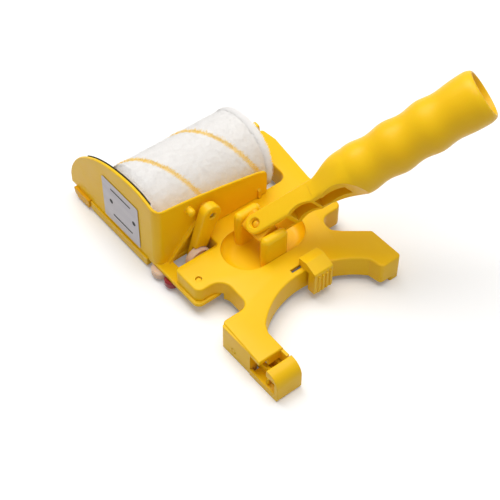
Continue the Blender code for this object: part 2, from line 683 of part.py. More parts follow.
def wheel_arm(parent):
    pivot = (ARM_PIVOT_X, ARM_Y0, ARM_PIVOT_Z)
    outline = capsule(ARM_PIVOT_X, ARM_PIVOT_Z, ARM_TOP_R, WHEEL_X, WHEEL_Z, 4.8)
    arm = node("wheel_arm", [upright(outline, ARM_Y0, ARM_Y1, 1.6)], parent, (YELLOW, 0.38), pivot)
    hole = [level(circle(2.0 + GAP, 16), z) for z in (ARM_Y0 + 1.2, ARM_Y1 + 1.0)]
    cut(arm, along(hole, "Y", (ARM_PIVOT_X, 0.0, ARM_PIVOT_Z)))
    pit = turned([(2.0, 1.3), (3.0, -0.2), (3.4, -1.0)], 20)
    cut(arm, along(pit, "Y", (ARM_PIVOT_X, ARM_Y0, ARM_PIVOT_Z)))
    bore = [level(circle(WHEEL_AXLE_R + GAP, 16), z) for z in (ARM_Y0 - 1.0, ARM_Y1 + 1.0)]
    cut(arm, along(bore, "Y", (WHEEL_X, 0.0, WHEEL_Z)))
    cut(arm, upright(circle(WHEEL_R + 0.8, 32, WHEEL_X, WHEEL_Z), ARM_Y0 - 1.0, ARM_Y0 + 3.6))
    node("wheel_arm_pin",
         [along(turned([(1.5, ARM_Y0 + 1.6), (2.0, ARM_Y0 + 2.0), (2.0, WALL_Y + WALL_THICK + 0.8),
                        (1.5, WALL_Y + WALL_THICK + 1.2)], 16),
                "Y", (ARM_PIVOT_X, 0.0, ARM_PIVOT_Z))], parent, (STEEL, 0.3, 1.0))


def arm_wheel(parent):
    pivot = (WHEEL_X, ARM_Y0, WHEEL_Z)
    y0, y1 = ARM_Y0 - 2.6, ARM_Y0 + 3.2
    bore = WHEEL_AXLE_R + GAP
    tyre = turned([(bore, y0), (4.0, y0), (4.6, y0 + 0.8), (WHEEL_R - 2.0, y0 + 0.8),
                   (WHEEL_R - 0.8, y0), (WHEEL_R, y0 + 0.9), (WHEEL_R, y1 - 0.9),
                   (WHEEL_R - 0.8, y1), (bore, y1)])
    node("arm_wheel", [along(tyre, "Y", (WHEEL_X, 0.0, WHEEL_Z))], parent, (PEACH, 0.5), pivot,
         closed=True)
    axle = turned([(3.6, y0 - GAP - 1.2), (3.6, y0 - GAP), (WHEEL_AXLE_R, y0 - GAP),
                   (WHEEL_AXLE_R, ARM_Y1 + 0.4)], 20)
    node("arm_wheel_axle", [along(axle, "Y", (WHEEL_X, 0.0, WHEEL_Z))], parent,
         (STEEL, 0.3, 1.0), pivot)


def trim_wheels(parent):
    for name, x, y, radius, colour in TRIM_WHEELS:
        pivot = (x, y, TRIM_WHEEL_Z0)
        bore = TRIM_AXLE_R + GAP
        z0, z1 = TRIM_WHEEL_Z0, TRIM_WHEEL_Z1
        rings = turned([(bore, z0), (radius - 1.4, z0), (radius - 0.4, z0 + 0.6),
                        (radius, z0 + 1.6), (radius, z1 - 1.0), (radius - 0.8, z1), (bore, z1)], 28)
        node(name, [along(rings, "Z", (x, y, 0.0))], parent, (colour, 0.4), pivot, closed=True)
        head = TRIM_AXLE_R + 1.2
        axle = turned([(head - 0.4, z0 - GAP - 0.9), (head, z0 - GAP - 0.5), (head, z0 - GAP),
                       (TRIM_AXLE_R, z0 - GAP), (TRIM_AXLE_R, 9.6), (TRIM_AXLE_R - 0.4, 9.9)], 20)
        node(name + "_axle", [along(axle, "Z", (x, y, 0.0))], parent, (STEEL, 0.3, 1.0))


# ---------------------------------------------------------------- thumb slide and sprung foot

def thumb_slide(parent):
    """Slide with a sloping top over the arc's edge and a ribbed face hanging below it."""
    arc_face = ARC_Y + ARC_R
    side = [(-30.2, PLATE_TOP + GAP), (-30.2, 28.6), (-37.6, 29.6), (-46.4, 25.6), (-47.0, 24.6),
            (-47.0, 6.0), (arc_face - 3.6, 6.0), (arc_face - 3.6, PLATE_TOP + GAP)]
    slide = node("thumb_slide", [[[(x, y, z) for y, z in side] for x in (SLIDE_X0, SLIDE_X1)]],
                 parent, (YELLOW, 0.36), (SLIDE_X0, -40.0, PLATE_TOP))
    for k in range(4):
        x = SLIDE_X0 + 3.0 + 3.4 * k
        join(slide, slab(rounded_box(x, x + 1.6, -48.0, -46.5, 0.4), 7.0, 22.0))
    join(slide, block(SLIDE_X0 + 1.0, SLIDE_X1 - 1.0, -33.0, -31.0, 17.0, PLATE_TOP + 1.0))
    return slide


def sprung_foot(parent):
    """Rounded foot end on two arms that turn about a pin inside the foot."""
    pivot = (FOOT_OUT_X, HOOK_PIN_Y, HOOK_PIN_Z)
    nose = fillet([(FOOT_END_Y, 0.0, 1.5), (HOOK_NOSE_Y, 0.0, 0.6),
                   (HOOK_NOSE_Y, PLATE_TOP, 0.8), (FOOT_END_Y, PLATE_TOP, 9.6)], 7)
    x0, x1 = FOOT_OUT_X - 0.1, FOOT_IN_X + 0.1
    foot = node("sprung_foot", [[[(x, y, z) for y, z in nose] for x in (x0, x1)]], parent,
                (YELLOW, 0.38), pivot)
    cut(foot, block(x0 - 1.0, x1 - 2.4, FOOT_END_Y + 3.0, HOOK_NOSE_Y + 1.0, 2.4,
                    PLATE_TOP - 5.6))
    arm_r = 4.0
    arm = [(HOOK_NOSE_Y - 9.0, HOOK_PIN_Z - arm_r)]
    for k in range(9):
        a = pi * k / 8 - pi / 2
        arm.append((HOOK_PIN_Y + arm_r * cos(a), HOOK_PIN_Z + arm_r * sin(a)))
    arm.append((HOOK_NOSE_Y - 9.0, HOOK_PIN_Z + arm_r))
    for x in (FOOT_OUT_X + WALL + 4.6, FOOT_IN_X - WALL - GAP - 2.4):
        join(foot, [[(xx, y, z) for y, z in arm] for xx in (x, x + 2.2)])
    join(foot, block(FOOT_OUT_X + WALL + 5.0, FOOT_IN_X - WALL - 1.0, HOOK_NOSE_Y - 8.0, -70.0,
                     2.6, 4.4))
    join(foot, block(x0, x0 + 2.0, FOOT_END_Y + 1.0, -67.9, 0.0, 5.2))
    join(foot, block(x0 + 1.0, FOOT_OUT_X + WALL + 6.0, HOOK_NOSE_Y - 8.0, -70.0, 2.6, 4.4))
    for rib in (((-53.0, -83.4), (-51.8, -84.6), (-43.4, -79.4), (-44.4, -78.2)),
                ((-49.4, -85.4), (-48.0, -85.4), (-45.2, -80.6), (-46.6, -80.0))):
        join(foot, [level(rib, z) for z in (3.4, 10.4)])
    bore = [level(circle(HOOK_PIN_R + GAP, 16), z) for z in (FOOT_OUT_X + 1.0, FOOT_IN_X)]
    cut(foot, along(bore, "X", (0.0, HOOK_PIN_Y, HOOK_PIN_Z)))
    pin = turned([(HOOK_PIN_R - 0.4, FOOT_OUT_X + 0.4), (HOOK_PIN_R, FOOT_OUT_X + 0.8),
                  (HOOK_PIN_R, FOOT_IN_X - 1.5)], 16)
    node("foot_pin", [along(pin, "X", (0.0, HOOK_PIN_Y, HOOK_PIN_Z))], parent, (STEEL, 0.3, 1.0))


# ---------------------------------------------------------------- tilt block and handle

def tilt_block(parent):
    """Block between the posts, in the tilted frame: it turns on two stub trunnions."""
    half_y = POST_GAP / 2 - 0.5
    low = CHANNEL_BOTTOM + EAR_THICK + GAP
    high = CHANNEL_TOP - EAR_THICK - GAP
    outline = rounded_box(BLOCK_BACK, BLOCK_FRONT, low, high, 2.0)
    blk = node("tilt_block", [[[(u, y, w) for u, w in outline] for y in (-half_y, half_y)]],
               parent, (YELLOW_DEEP, 0.42))
    reach = POST_GAP / 2 + TRUNNION_OUT
    stub = turned([(TRUNNION_R - 0.4, -reach), (TRUNNION_R, 0.4 - reach),
                   (TRUNNION_R, reach - 0.4), (TRUNNION_R - 0.4, reach)], 20)
    join(blk, along(stub, "Y"))
    bore = turned([(PIN_R + GAP, low - 1.0), (PIN_R + GAP, high + 1.0)], 20)
    cut(blk, along(bore, "Z", (SWIVEL_OFFSET, 0.0, 0.0)))
    return blk


def grip_radius(u):
    """Outer radius along the grip: finger waves, then the flared end."""
    share = (u - GRIP_ROUND_AT) / (GRIP_END - GRIP_ROUND_AT)
    wave = GRIP_WAVE * cos(2 * pi * (u - GRIP_ROUND_AT - 5.0) / WAVE_PITCH)
    fade = min(1.0, max(0.0, (share - 0.60) / 0.28))
    radius = GRIP_R + GRIP_GROWTH * share + wave * (1.0 - 0.65 * fade * fade * (3 - 2 * fade))
    flare_from = GRIP_END - 24.0
    if u > flare_from:
        radius += (FLARE_R - GRIP_R - GRIP_GROWTH) * ((u - flare_from) / 14.0) ** 2 / 1.6
    return min(radius, FLARE_R)


def oval(u, half_v, half_w, centre_w, power):
    """Ring across the handle: a rounded box for a high power and a circle for 2."""
    ring = []
    for k in range(SEGMENTS):
        a = 2 * pi * k / SEGMENTS
        c, s = cos(a), sin(a)
        v = half_v * abs(c) ** (2 / power) * (1 if c >= 0 else -1)
        w = half_w * abs(s) ** (2 / power) * (1 if s >= 0 else -1)
        ring.append((u, v, centre_w + w))
    return ring


def grip_rings():
    """Skin of the grip: neck, waves, rounded mouth and the socket inside it."""
    rings = []
    neck_v, neck_w = EAR_R - 0.1, (CHANNEL_TOP - CHANNEL_BOTTOM) / 2 - 0.1
    steps = 9
    for k in range(steps + 1):
        share = k / steps
        ease = share * share * (3 - 2 * share)
        u = GRIP_START + (GRIP_ROUND_AT - GRIP_START) * share
        full = grip_radius(GRIP_ROUND_AT)
        rings.append(oval(u, neck_v + (full - neck_v) * ease, neck_w + (full - neck_w) * ease,
                          GRIP_AXIS_W, 6.0 - 4.0 * ease))
    stations = 24
    body_end = GRIP_END - 7.0
    for k in range(1, stations + 1):
        u = GRIP_ROUND_AT + (body_end - GRIP_ROUND_AT) * k / stations
        radius = grip_radius(u)
        rings.append(oval(u, radius, radius, GRIP_AXIS_W, 2.0))
    last = grip_radius(body_end)
    for k in range(1, 5):
        a = pi / 2 * k / 4
        radius = MOUTH_R + 0.5 + (last - MOUTH_R - 0.5) * cos(a)
        rings.append(oval(body_end + 7.0 * sin(a), radius, radius, GRIP_AXIS_W, 2.0))
    for u, radius in ((GRIP_END - 0.3, MOUTH_R), (GRIP_END - 3.0, SOCKET_R + 0.6),
                      (GRIP_END - 8.0, SOCKET_R), (GRIP_END - SOCKET_DEPTH, SOCKET_R - 0.8)):
        rings.append(oval(u, radius, radius, GRIP_AXIS_W, 2.0))
    return rings


def ear_outline():
    """Plan (u, v) of the neck: round at the pin, running into the grip."""
    points = []
    for k in range(15):
        a = pi / 2 + pi * k / 14
        points.append((EAR_R * cos(a), EAR_R * sin(a)))
    points += [(GRIP_START + 6.0, -EAR_R), (GRIP_START + 6.0, EAR_R)]
    return points


def pocket(u0, u1):
    """A pocket in the neck's open front side, with a scalloped mouth."""
    low = CHANNEL_BOTTOM + EAR_THICK
    high = CHANNEL_TOP - EAR_THICK
    outline = fillet([(u0, -22.0, 0.0), (u1, -22.0, 0.0), (u1, WEB_INNER_V, 2.0),
                      (u0, WEB_INNER_V, 2.0)])
    return [level(outline, w) for w in (low, high)]


def handle(parent):
    grip = node("handle", [grip_rings()], parent, (YELLOW, 0.38))
    join(grip, slab(ear_outline(), CHANNEL_BOTTOM, CHANNEL_TOP, 1.5, 1.5))
    low = CHANNEL_BOTTOM + EAR_THICK
    high = CHANNEL_TOP - EAR_THICK
    cut(grip, block(-EAR_R - 2.0, SLOT_END, -EAR_R - 2.0, EAR_R + 2.0, low, high))
    for u0, u1 in POCKETS:
        cut(grip, pocket(u0, u1))
        middle = (u0 + u1) / 2
        bite = 2.6
        half = (u1 - u0) / 2 + 0.6
        radius = (half * half + bite * bite) / (2 * bite)
        edge = -EAR_R - (0.0 if u1 < 45.0 else 2.6)
        scallop = circle(radius, 32, middle, edge + bite - radius)
        cut(grip, [level(scallop, w) for w in (CHANNEL_BOTTOM - 8.0, CHANNEL_TOP + 8.0)])
    cut(grip, turned([(PIN_R + GAP, CHANNEL_BOTTOM - 1.0), (PIN_R + GAP, CHANNEL_TOP - 1.6),
                      (PIT_R, CHANNEL_TOP - 0.7), (PIT_R + 0.4, CHANNEL_TOP + 1.0)], 24))
    low_face = CHANNEL_BOTTOM - GAP
    pin = turned([(PIN_HEAD_R - 0.6, low_face - PIN_HEAD_THICK), (PIN_HEAD_R, low_face - 0.9),
                  (PIN_HEAD_R, low_face), (PIN_R, low_face), (PIN_R, CHANNEL_TOP - 2.2),
                  (PIN_R - 0.9, CHANNEL_TOP - 1.5), (0.8, CHANNEL_TOP - 1.2)], 24)
    node("swivel_pin", [pin], parent, (YELLOW_DEEP, 0.4))
    # sleeve for an extension pole, pressed into the grip's hollow end
    outer = SOCKET_R - 0.8 - GAP
    end = GRIP_END - 12.0
    start = end - INSERT_LENGTH
    rings = [level(circle(radius, SEGMENTS), u)
             for u, radius in ((start, outer - INSERT_WALL), (start, outer), (end, outer),
                               (end, outer - INSERT_WALL))]
    node("pole_socket", [along(rings, "X", (0.0, 0.0, GRIP_AXIS_W))], parent,
         (YELLOW_DEEP, 0.45), closed=True)


# ---------------------------------------------------------------- assembly

def main():
    clear_scene()
    frame = empty("tool_frame", None, (FRAME_X, FRAME_Y, 0.0))
    base_shell(frame)
    guard_rivet(frame)
    guard_shell(frame)
    shield_seal(frame)
    guard_label(frame)
    guide_bar(frame)
    roller(frame)
    roller_mount(frame)
    wheel_arm(frame)
    arm_wheel(frame)
    trim_wheels(frame)
    thumb_slide(frame)
    sprung_foot(frame)
    tilt_axis = empty("tilt_axis", frame, (PIVOT_X, PIVOT_Y, PIVOT_Z), (0.0, -radians(TILT), 0.0))
    tilt_block(tilt_axis)
    swivel_axis = empty("swivel_axis", tilt_axis, (SWIVEL_OFFSET, 0.0, 0.0),
                        (0.0, 0.0, -radians(SWIVEL)))
    handle(swivel_axis)


main()
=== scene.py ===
"""Looks of the edging paint roller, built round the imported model.

Every rigid piece is made again from the same named sizes as the CAD, with finer curves, and
rides on its CAD body. The roller's cover gets a knitted pile of single fibres.
"""
import json
from math import acos, atan2, cos, hypot, pi, radians, sin, sqrt, tan

import bmesh
import bpy
import numpy as np
from mathutils import Matrix, Vector, noise


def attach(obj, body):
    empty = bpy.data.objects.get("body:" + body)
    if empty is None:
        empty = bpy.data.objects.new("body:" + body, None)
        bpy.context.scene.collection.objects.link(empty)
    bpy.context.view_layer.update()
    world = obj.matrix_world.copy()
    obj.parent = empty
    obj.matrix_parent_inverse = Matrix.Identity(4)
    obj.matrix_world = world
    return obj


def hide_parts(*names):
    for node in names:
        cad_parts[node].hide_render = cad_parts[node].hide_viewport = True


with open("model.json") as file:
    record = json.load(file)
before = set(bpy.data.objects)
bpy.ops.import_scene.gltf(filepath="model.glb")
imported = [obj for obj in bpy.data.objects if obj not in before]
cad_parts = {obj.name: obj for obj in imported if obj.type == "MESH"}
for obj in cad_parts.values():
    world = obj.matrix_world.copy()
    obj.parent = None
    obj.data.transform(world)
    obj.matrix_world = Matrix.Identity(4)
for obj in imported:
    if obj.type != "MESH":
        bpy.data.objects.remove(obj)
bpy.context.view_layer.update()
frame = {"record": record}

MM = 0.001
GAP = 0.3                      # clearance left between pieces that touch
FRAME_X, FRAME_Y = -45.4, -22.3  # from the design origin's floor point to the tool's middle

RIVET_X, RIVET_Y = -42.4, 1.4   # the rivet that holds the guard's deck under the base
RIVET_R = 2.0
RIVET_HEAD_R = 3.6

# roller
NAP_R = 32.0
NAP_NEAR_Y = 39.5              # the cover's near side, clear of the splash wall
NAP_LIFT = 0.4                 # the cover's lowest line, above the floor
ROLLER_Y, ROLLER_Z = NAP_NEAR_Y + NAP_R, NAP_LIFT + NAP_R
NAP_IN_R = 22.3
ROLLER_X0, ROLLER_X1 = -45.4, 51.6
CORE_WALL = 1.8
CAP_THICK = 4.0
AXLE_R = 4.0
BRACKET_X = 56.6
BRACKET_THICK = 3.2

# base plate
PLATE_TOP = 22.0
PLATE_THICK = 2.4
WALL = 2.2
SKIRT_BOTTOM = 5.0
EDGE_ROUND = 1.3
MID_X = 13.0                   # the base's centre plane
LOBE_OUT = 63.0                # lobe edge, from the centre plane
NOTCH_IN = 42.3                # notch bottom, from the centre plane
BACK_Y = 18.3
LOBE_FRONT_Y = -7.6
FOOT_BACK_Y = -36.4
FOOT_END_Y = -95.6
FOOT_PLATE_END_Y = -77.0
FOOT_WALL_END_Y = -83.0        # the inner side wall runs on past the plate
FOOT_MOUTH_Z = 13.4            # top of the opening that the sprung foot's arms pass through
FOOT_OUT_X, FOOT_IN_X = -54.4, -34.4
FOOT_INSIDE_Y = -62.0
ARM_IN_X, ARM_OUT_X = 60.0, 77.4
ARM_END_Y = -66.8
ARC_Y, ARC_R = -98.4, 61.5
WINDOW_Y, WINDOW_X = 37.4, 63.0
OPENING_X = -13.5
FAR_ARM_OUT_X = 82.0
FAR_ARM_END_Y = ROLLER_Y + 15.0
FLANGE_TOP = PLATE_TOP + 2.8   # the far bracket's flange on that arm

# bowl and the two posts that hold the tilt block
BOWL_R = 18.6
BOWL_HALF_LEN = 13.5
BOWL_DEPTH = 8.0
PIVOT_X, PIVOT_Y, PIVOT_Z = 10.35, 1.8, 34.0
POST_LENGTH = 20.6
POST_THICK = 8.0
POST_GAP = 20.6                # clear space between the posts
POST_TOP = 42.0
POST_ROUND = 3.8
TRUNNION_R = 2.5
TRUNNION_OUT = 3.4

# tilt block, swivel pin and handle, in the handle's own frame: u along, v across, w up
TILT = 38.0
SWIVEL = 23.0
BLOCK_BACK, BLOCK_FRONT = -6.0, 8.6
SWIVEL_OFFSET = 2.1            # the swivel pin's axis, along the arm from the tilt axis
CHANNEL_BOTTOM, CHANNEL_TOP = -8.8, 11.3
EAR_THICK = 3.6
EAR_R = 7.3
PIN_R = 2.6
PIN_HEAD_R = 4.2
PIN_HEAD_THICK = 1.5
PIT_R = 3.7
SLOT_END = 21.0
WEB_INNER_V = 4.2
POCKETS = ((24.0, 41.0), (43.2, 66.0))
GRIP_AXIS_W = 1.6
GRIP_START = 44.0
GRIP_ROUND_AT = 74.0
GRIP_END = 172.0
GRIP_R = 17.1
GRIP_GROWTH = 0.9
GRIP_WAVE = 0.75
WAVE_PITCH = 26.5
FLARE_R = 18.7
MOUTH_R = 15.4
SOCKET_R = 14.0
SOCKET_DEPTH = 78.0
INSERT_WALL = 1.8
INSERT_LENGTH = 34.0

# guard: shield, splash wall and deck in one moulding
SHIELD_X = -52.0
SHIELD_THICK = 2.3
SHIELD_BOTTOM = 10.0
SHIELD_PEAK_Y, SHIELD_PEAK_Z = 60.0, 67.5
SHIELD_TIP_Y = 141.0
WALL_Y = 34.5
WALL_THICK = 1.8
WALL_CORNER_R = 6.0
WALL_CORNER_Z = 61.0
WALL_END_X = 42.5
WALL_END_Z = 44.5
DECK_BOTTOM, DECK_TOP = 8.0, 10.5
DECK_FRONT_Y = -9.6
SEAL_Y0, SEAL_Y1 = 43.0, 118.0
LABEL_Y0, LABEL_Y1, LABEL_Z0, LABEL_Z1 = 54.5, 96.5, 12.2, 50.5
LABEL_THICK = 0.4
GLIDE_Y0 = 116.0
GLIDE_TEETH = 5
GLIDE_PITCH = 3.0

# wheel arm with its wheel, and the pair of trim wheels under the deck
ARM_PIVOT_X, ARM_PIVOT_Z = -12.2, 43.2
ARM_Y0, ARM_Y1 = 24.6, 31.4
ARM_TOP_R = 7.6
ARM_PIN_R = 2.0
WHEEL_R = 9.4
WHEEL_X, WHEEL_Z = -25.4, WHEEL_R + GAP
WHEEL_AXLE_R = 2.0
TRIM_WHEEL_Z0, TRIM_WHEEL_Z1 = 1.5, 7.6
TRIM_AXLE_R = 1.5

# thumb slide and sprung foot
SLIDE_X0, SLIDE_X1 = 17.5, 33.5
HOOK_PIN_Y, HOOK_PIN_Z = -50.6, 6.6
HOOK_PIN_R = 1.8
HOOK_NOSE_Y = -84.4

SEGMENTS = 72                  # sides of a round piece

BRACKET_SCREW_R = 1.5
BRACKET_SCREWS = ((67.6, ROLLER_Y + 1.0), (67.6, ROLLER_Y + 8.6))
RIVET = (RIVET_X, RIVET_Y, 0.0)          # a point on each pin's axis
ROLLER_AXIS = (0.0, ROLLER_Y, ROLLER_Z)
ARM_PIN = (ARM_PIVOT_X, 0.0, ARM_PIVOT_Z)
WHEEL_PIN = (WHEEL_X, 0.0, WHEEL_Z)
HOOK_PIN = (0.0, HOOK_PIN_Y, HOOK_PIN_Z)
TRIM_WHEELS = (("trim_wheel_red", -49.6, 22.9, 5.2),
               ("trim_wheel_pale", -49.2, 35.4, 7.0))


# ---------------------------------------------------------------- outlines and rings

def fillet(corners, steps=10):
    """Outline through corners (x, y, radius), each turned into an arc of its radius."""
    points = []
    count = len(corners)
    for i, (x, y, radius) in enumerate(corners):
        here = Vector((x, y))
        before = (Vector(corners[i - 1][:2]) - here).normalized()
        after = (Vector(corners[(i + 1) % count][:2]) - here).normalized()
        if radius <= 0.0:
            points.append((x, y))
            continue
        half = acos(max(-1.0, min(1.0, before.dot(after)))) / 2
        centre = here + (before + after).normalized() * (radius / sin(half))
        start = here + before * (radius / tan(half)) - centre
        end = here + after * (radius / tan(half)) - centre
        turn = atan2(start.x * end.y - start.y * end.x, start.dot(end))
        for k in range(steps + 1):
            a = turn * k / steps
            points.append((centre.x + start.x * cos(a) - start.y * sin(a),
                           centre.y + start.x * sin(a) + start.y * cos(a)))
    return points


def inset(outline, distance):
    """Anticlockwise outline moved inwards by a distance, with mitred corners."""
    moved = []
    count = len(outline)
    for i, point in enumerate(outline):
        here = Vector(point)
        a = (here - Vector(outline[i - 1])).normalized()
        b = (Vector(outline[(i + 1) % count]) - here).normalized()
        normal = Vector((-a.y - b.y, a.x + b.x)).normalized()
        stretch = max(0.3, normal.dot(Vector((-a.y, a.x))))
        moved.append(tuple(here + normal * (distance / stretch)))
    return moved


def circle(radius, steps=SEGMENTS, x=0.0, y=0.0):
    return [(x + radius * cos(2 * pi * k / steps), y + radius * sin(2 * pi * k / steps))
            for k in range(steps)]


def level(outline, z):
    return [(x, y, z) for x, y in outline]


def slab(outline, bottom, top, edge=0.0, bottom_edge=0.0, steps=5):
    """Rings of an upright block whose top and bottom edges can be rounded."""
    rings = []
    if bottom_edge:
        for k in range(steps + 1):
            a = pi / 2 * k / steps
            rings.append(level(inset(outline, bottom_edge * (1 - sin(a))),
                               bottom + bottom_edge * (1 - cos(a))))
    else:
        rings.append(level(outline, bottom))
    if edge:
        for k in range(steps + 1):
            a = pi / 2 * k / steps
            rings.append(level(inset(outline, edge * (1 - cos(a))), top - edge * (1 - sin(a))))
    else:
        rings.append(level(outline, top))
    return rings


def turned(profile, steps=SEGMENTS):
    """Rings about Z for a profile of (radius, z) points."""
    return [level(circle(radius, steps), z) for radius, z in profile]


def along(rings, axis, at=(0.0, 0.0, 0.0)):
    """Rings built about Z, turned so that Z lies along X or Y, and moved to a place."""
    def place(p):
        x, y, z = p
        if axis == "X":
            x, y, z = z, x, y
        elif axis == "Y":
            x, y, z = y, z, x
        return (x + at[0], y + at[1], z + at[2])
    return [[place(p) for p in ring] for ring in rings]


def rod(axis, radius, low, high, at, steps=16):
    """Rings of a round bar or bore from low to high along an axis through a place."""
    return along([level(circle(radius, steps), z) for z in (low, high)], axis, at)


def plank(side, x0, x1):
    """Rings of a solid whose side view (y, z) runs from x0 to x1."""
    return [[(x, y, z) for y, z in side] for x in (x0, x1)]


def block(x0, x1, y0, y1, z0, z1):
    return [level([(x0, y0), (x1, y0), (x1, y1), (x0, y1)], z) for z in (z0, z1)]


def rounded_box(x0, x1, y0, y1, radius):
    return fillet([(x0, y0, radius), (x1, y0, radius), (x1, y1, radius), (x0, y1, radius)])


# ---------------------------------------------------------------- materials

def graph_of(name):
    made = bpy.data.materials.new(name)
    made.use_nodes = True
    tree = made.node_tree
    return made, tree, tree.nodes["Principled BSDF"]


def add_node(tree, kind, **values):
    made = tree.nodes.new(kind)
    for key, value in values.items():
        if key in made.inputs:
            made.inputs[key].default_value = value
        else:
            setattr(made, key, value)
    return made


def noise_at(tree, scale, detail=3.0, roughness=0.55, stretch=(1.0, 1.0, 1.0)):
    place = add_node(tree, "ShaderNodeTexCoord")
    mapping = add_node(tree, "ShaderNodeMapping", Scale=stretch)
    made = add_node(tree, "ShaderNodeTexNoise", Scale=scale, Detail=detail, Roughness=roughness)
    tree.links.new(place.outputs["Object"], mapping.inputs["Vector"])
    tree.links.new(mapping.outputs["Vector"], made.inputs["Vector"])
    return made.outputs["Fac"]


def ranged(tree, value, low, high, start=0.3, stop=0.7):
    made = add_node(tree, "ShaderNodeMapRange")
    made.inputs["From Min"].default_value = start
    made.inputs["From Max"].default_value = stop
    made.inputs["To Min"].default_value = low
    made.inputs["To Max"].default_value = high
    tree.links.new(value, made.inputs["Value"])
    return made.outputs["Result"]


def mixed(tree, factor, a, b):
    made = add_node(tree, "ShaderNodeMix", data_type="RGBA")
    for socket, value in ((made.inputs[6], a), (made.inputs[7], b)):
        if isinstance(value, tuple):
            socket.default_value = (*value, 1.0)
        else:
            tree.links.new(value, socket)
    tree.links.new(factor, made.inputs[0])
    return made.outputs[2]


def bumped(tree, shader, height, strength, distance, normal=None):
    """Small relief on a shader; the distance is in millimetres."""
    bump = add_node(tree, "ShaderNodeBump", Strength=strength, Distance=distance * MM)
    tree.links.new(height, bump.inputs["Height"])
    if normal:
        tree.links.new(normal, bump.inputs["Normal"])
    tree.links.new(bump.outputs["Normal"], shader.inputs["Normal"])


def toned(tree, shader, height, a, b):
    """Base colour between a and b, by a noise."""
    tree.links.new(mixed(tree, ranged(tree, height, 0.0, 1.0), a, b),
                   shader.inputs["Base Color"])


def roughened(tree, shader, height, low, high):
    tree.links.new(ranged(tree, height, low, high), shader.inputs["Roughness"])


def plastic(name, colour, deep, worn_and_lit, rough=(0.30, 0.42), soft=0.0, coat=0.0):
    """Moulded plastic: faint flow marks, a fine spark-eroded grain and paler edges that are
    partly scuffing and partly a painted highlight.
    """
    made, tree, shader = graph_of(name)
    flow = ranged(tree, noise_at(tree, 14.0, 4.0, 0.6, (1.0, 1.0, 2.2)), 0.0, 1.0)
    shade = mixed(tree, flow, colour, deep)
    # paler edges: partly scuffed wear and partly a painted highlight along the rounded edges
    bevel = add_node(tree, "ShaderNodeBevel", samples=6, Radius=0.0007)
    true = add_node(tree, "ShaderNodeNewGeometry")
    dot = add_node(tree, "ShaderNodeVectorMath", operation="DOT_PRODUCT")
    tree.links.new(bevel.outputs["Normal"], dot.inputs[0])
    tree.links.new(true.outputs["Normal"], dot.inputs[1])
    edge = ranged(tree, dot.outputs["Value"], 1.0, 0.0, 0.80, 0.99)
    patch = ranged(tree, noise_at(tree, 160.0, 5.0, 0.7), 0.0, 0.75, 0.35, 0.65)
    wear_and_highlight = add_node(tree, "ShaderNodeMath", operation="MULTIPLY")
    tree.links.new(edge, wear_and_highlight.inputs[0])
    tree.links.new(patch, wear_and_highlight.inputs[1])
    shade = mixed(tree, wear_and_highlight.outputs["Value"], shade, worn_and_lit)
    tree.links.new(shade, shader.inputs["Base Color"])
    roughened(tree, shader, noise_at(tree, 48.0, 4.0, 0.6), *rough)
    bumped(tree, shader, noise_at(tree, 1900.0, 2.0), 0.55, 0.012, bevel.outputs["Normal"])
    shader.inputs["IOR"].default_value = 1.5
    shader.inputs["Specular IOR Level"].default_value = 0.27
    if soft:
        shader.inputs["Subsurface Weight"].default_value = soft
        shader.inputs["Subsurface Radius"].default_value = (1.0, 0.55, 0.12)
        shader.inputs["Subsurface Scale"].default_value = 0.003
    if coat:
        shader.inputs["Coat Weight"].default_value = coat
        shader.inputs["Coat Roughness"].default_value = 0.12
    return made


def metal(name):
    """Drawn and turned steel with fine lines and a few dull spots."""
    made, tree, shader = graph_of(name)
    lines = noise_at(tree, 420.0, 3.0, 0.6, (0.15, 4.0, 4.0))
    toned(tree, shader, lines, (0.62, 0.62, 0.64), (0.42, 0.42, 0.44))
    roughened(tree, shader, noise_at(tree, 90.0), 0.22, 0.44)
    shader.inputs["Metallic"].default_value = 1.0
    bumped(tree, shader, lines, 0.4, 0.01)
    return made


def rubber(name):
    """Matt black rubber."""
    made, tree, shader = graph_of(name)
    toned(tree, shader, noise_at(tree, 60.0), (0.018, 0.017, 0.017), (0.035, 0.033, 0.032))
    roughened(tree, shader, noise_at(tree, 240.0), 0.5, 0.75)
    bumped(tree, shader, noise_at(tree, 1500.0), 0.5, 0.02)
    return made


def film(name):
    """Printed plastic film of the label: pale lilac grey with a faint brushed tone."""
    made, tree, shader = graph_of(name)
    toned(tree, shader, noise_at(tree, 30.0, 5.0, 0.7, (1.0, 0.3, 3.0)),
          (0.66, 0.63, 0.67), (0.56, 0.53, 0.58))
    roughened(tree, shader, noise_at(tree, 120.0), 0.28, 0.42)
    bumped(tree, shader, noise_at(tree, 900.0), 0.3, 0.01)
    return made


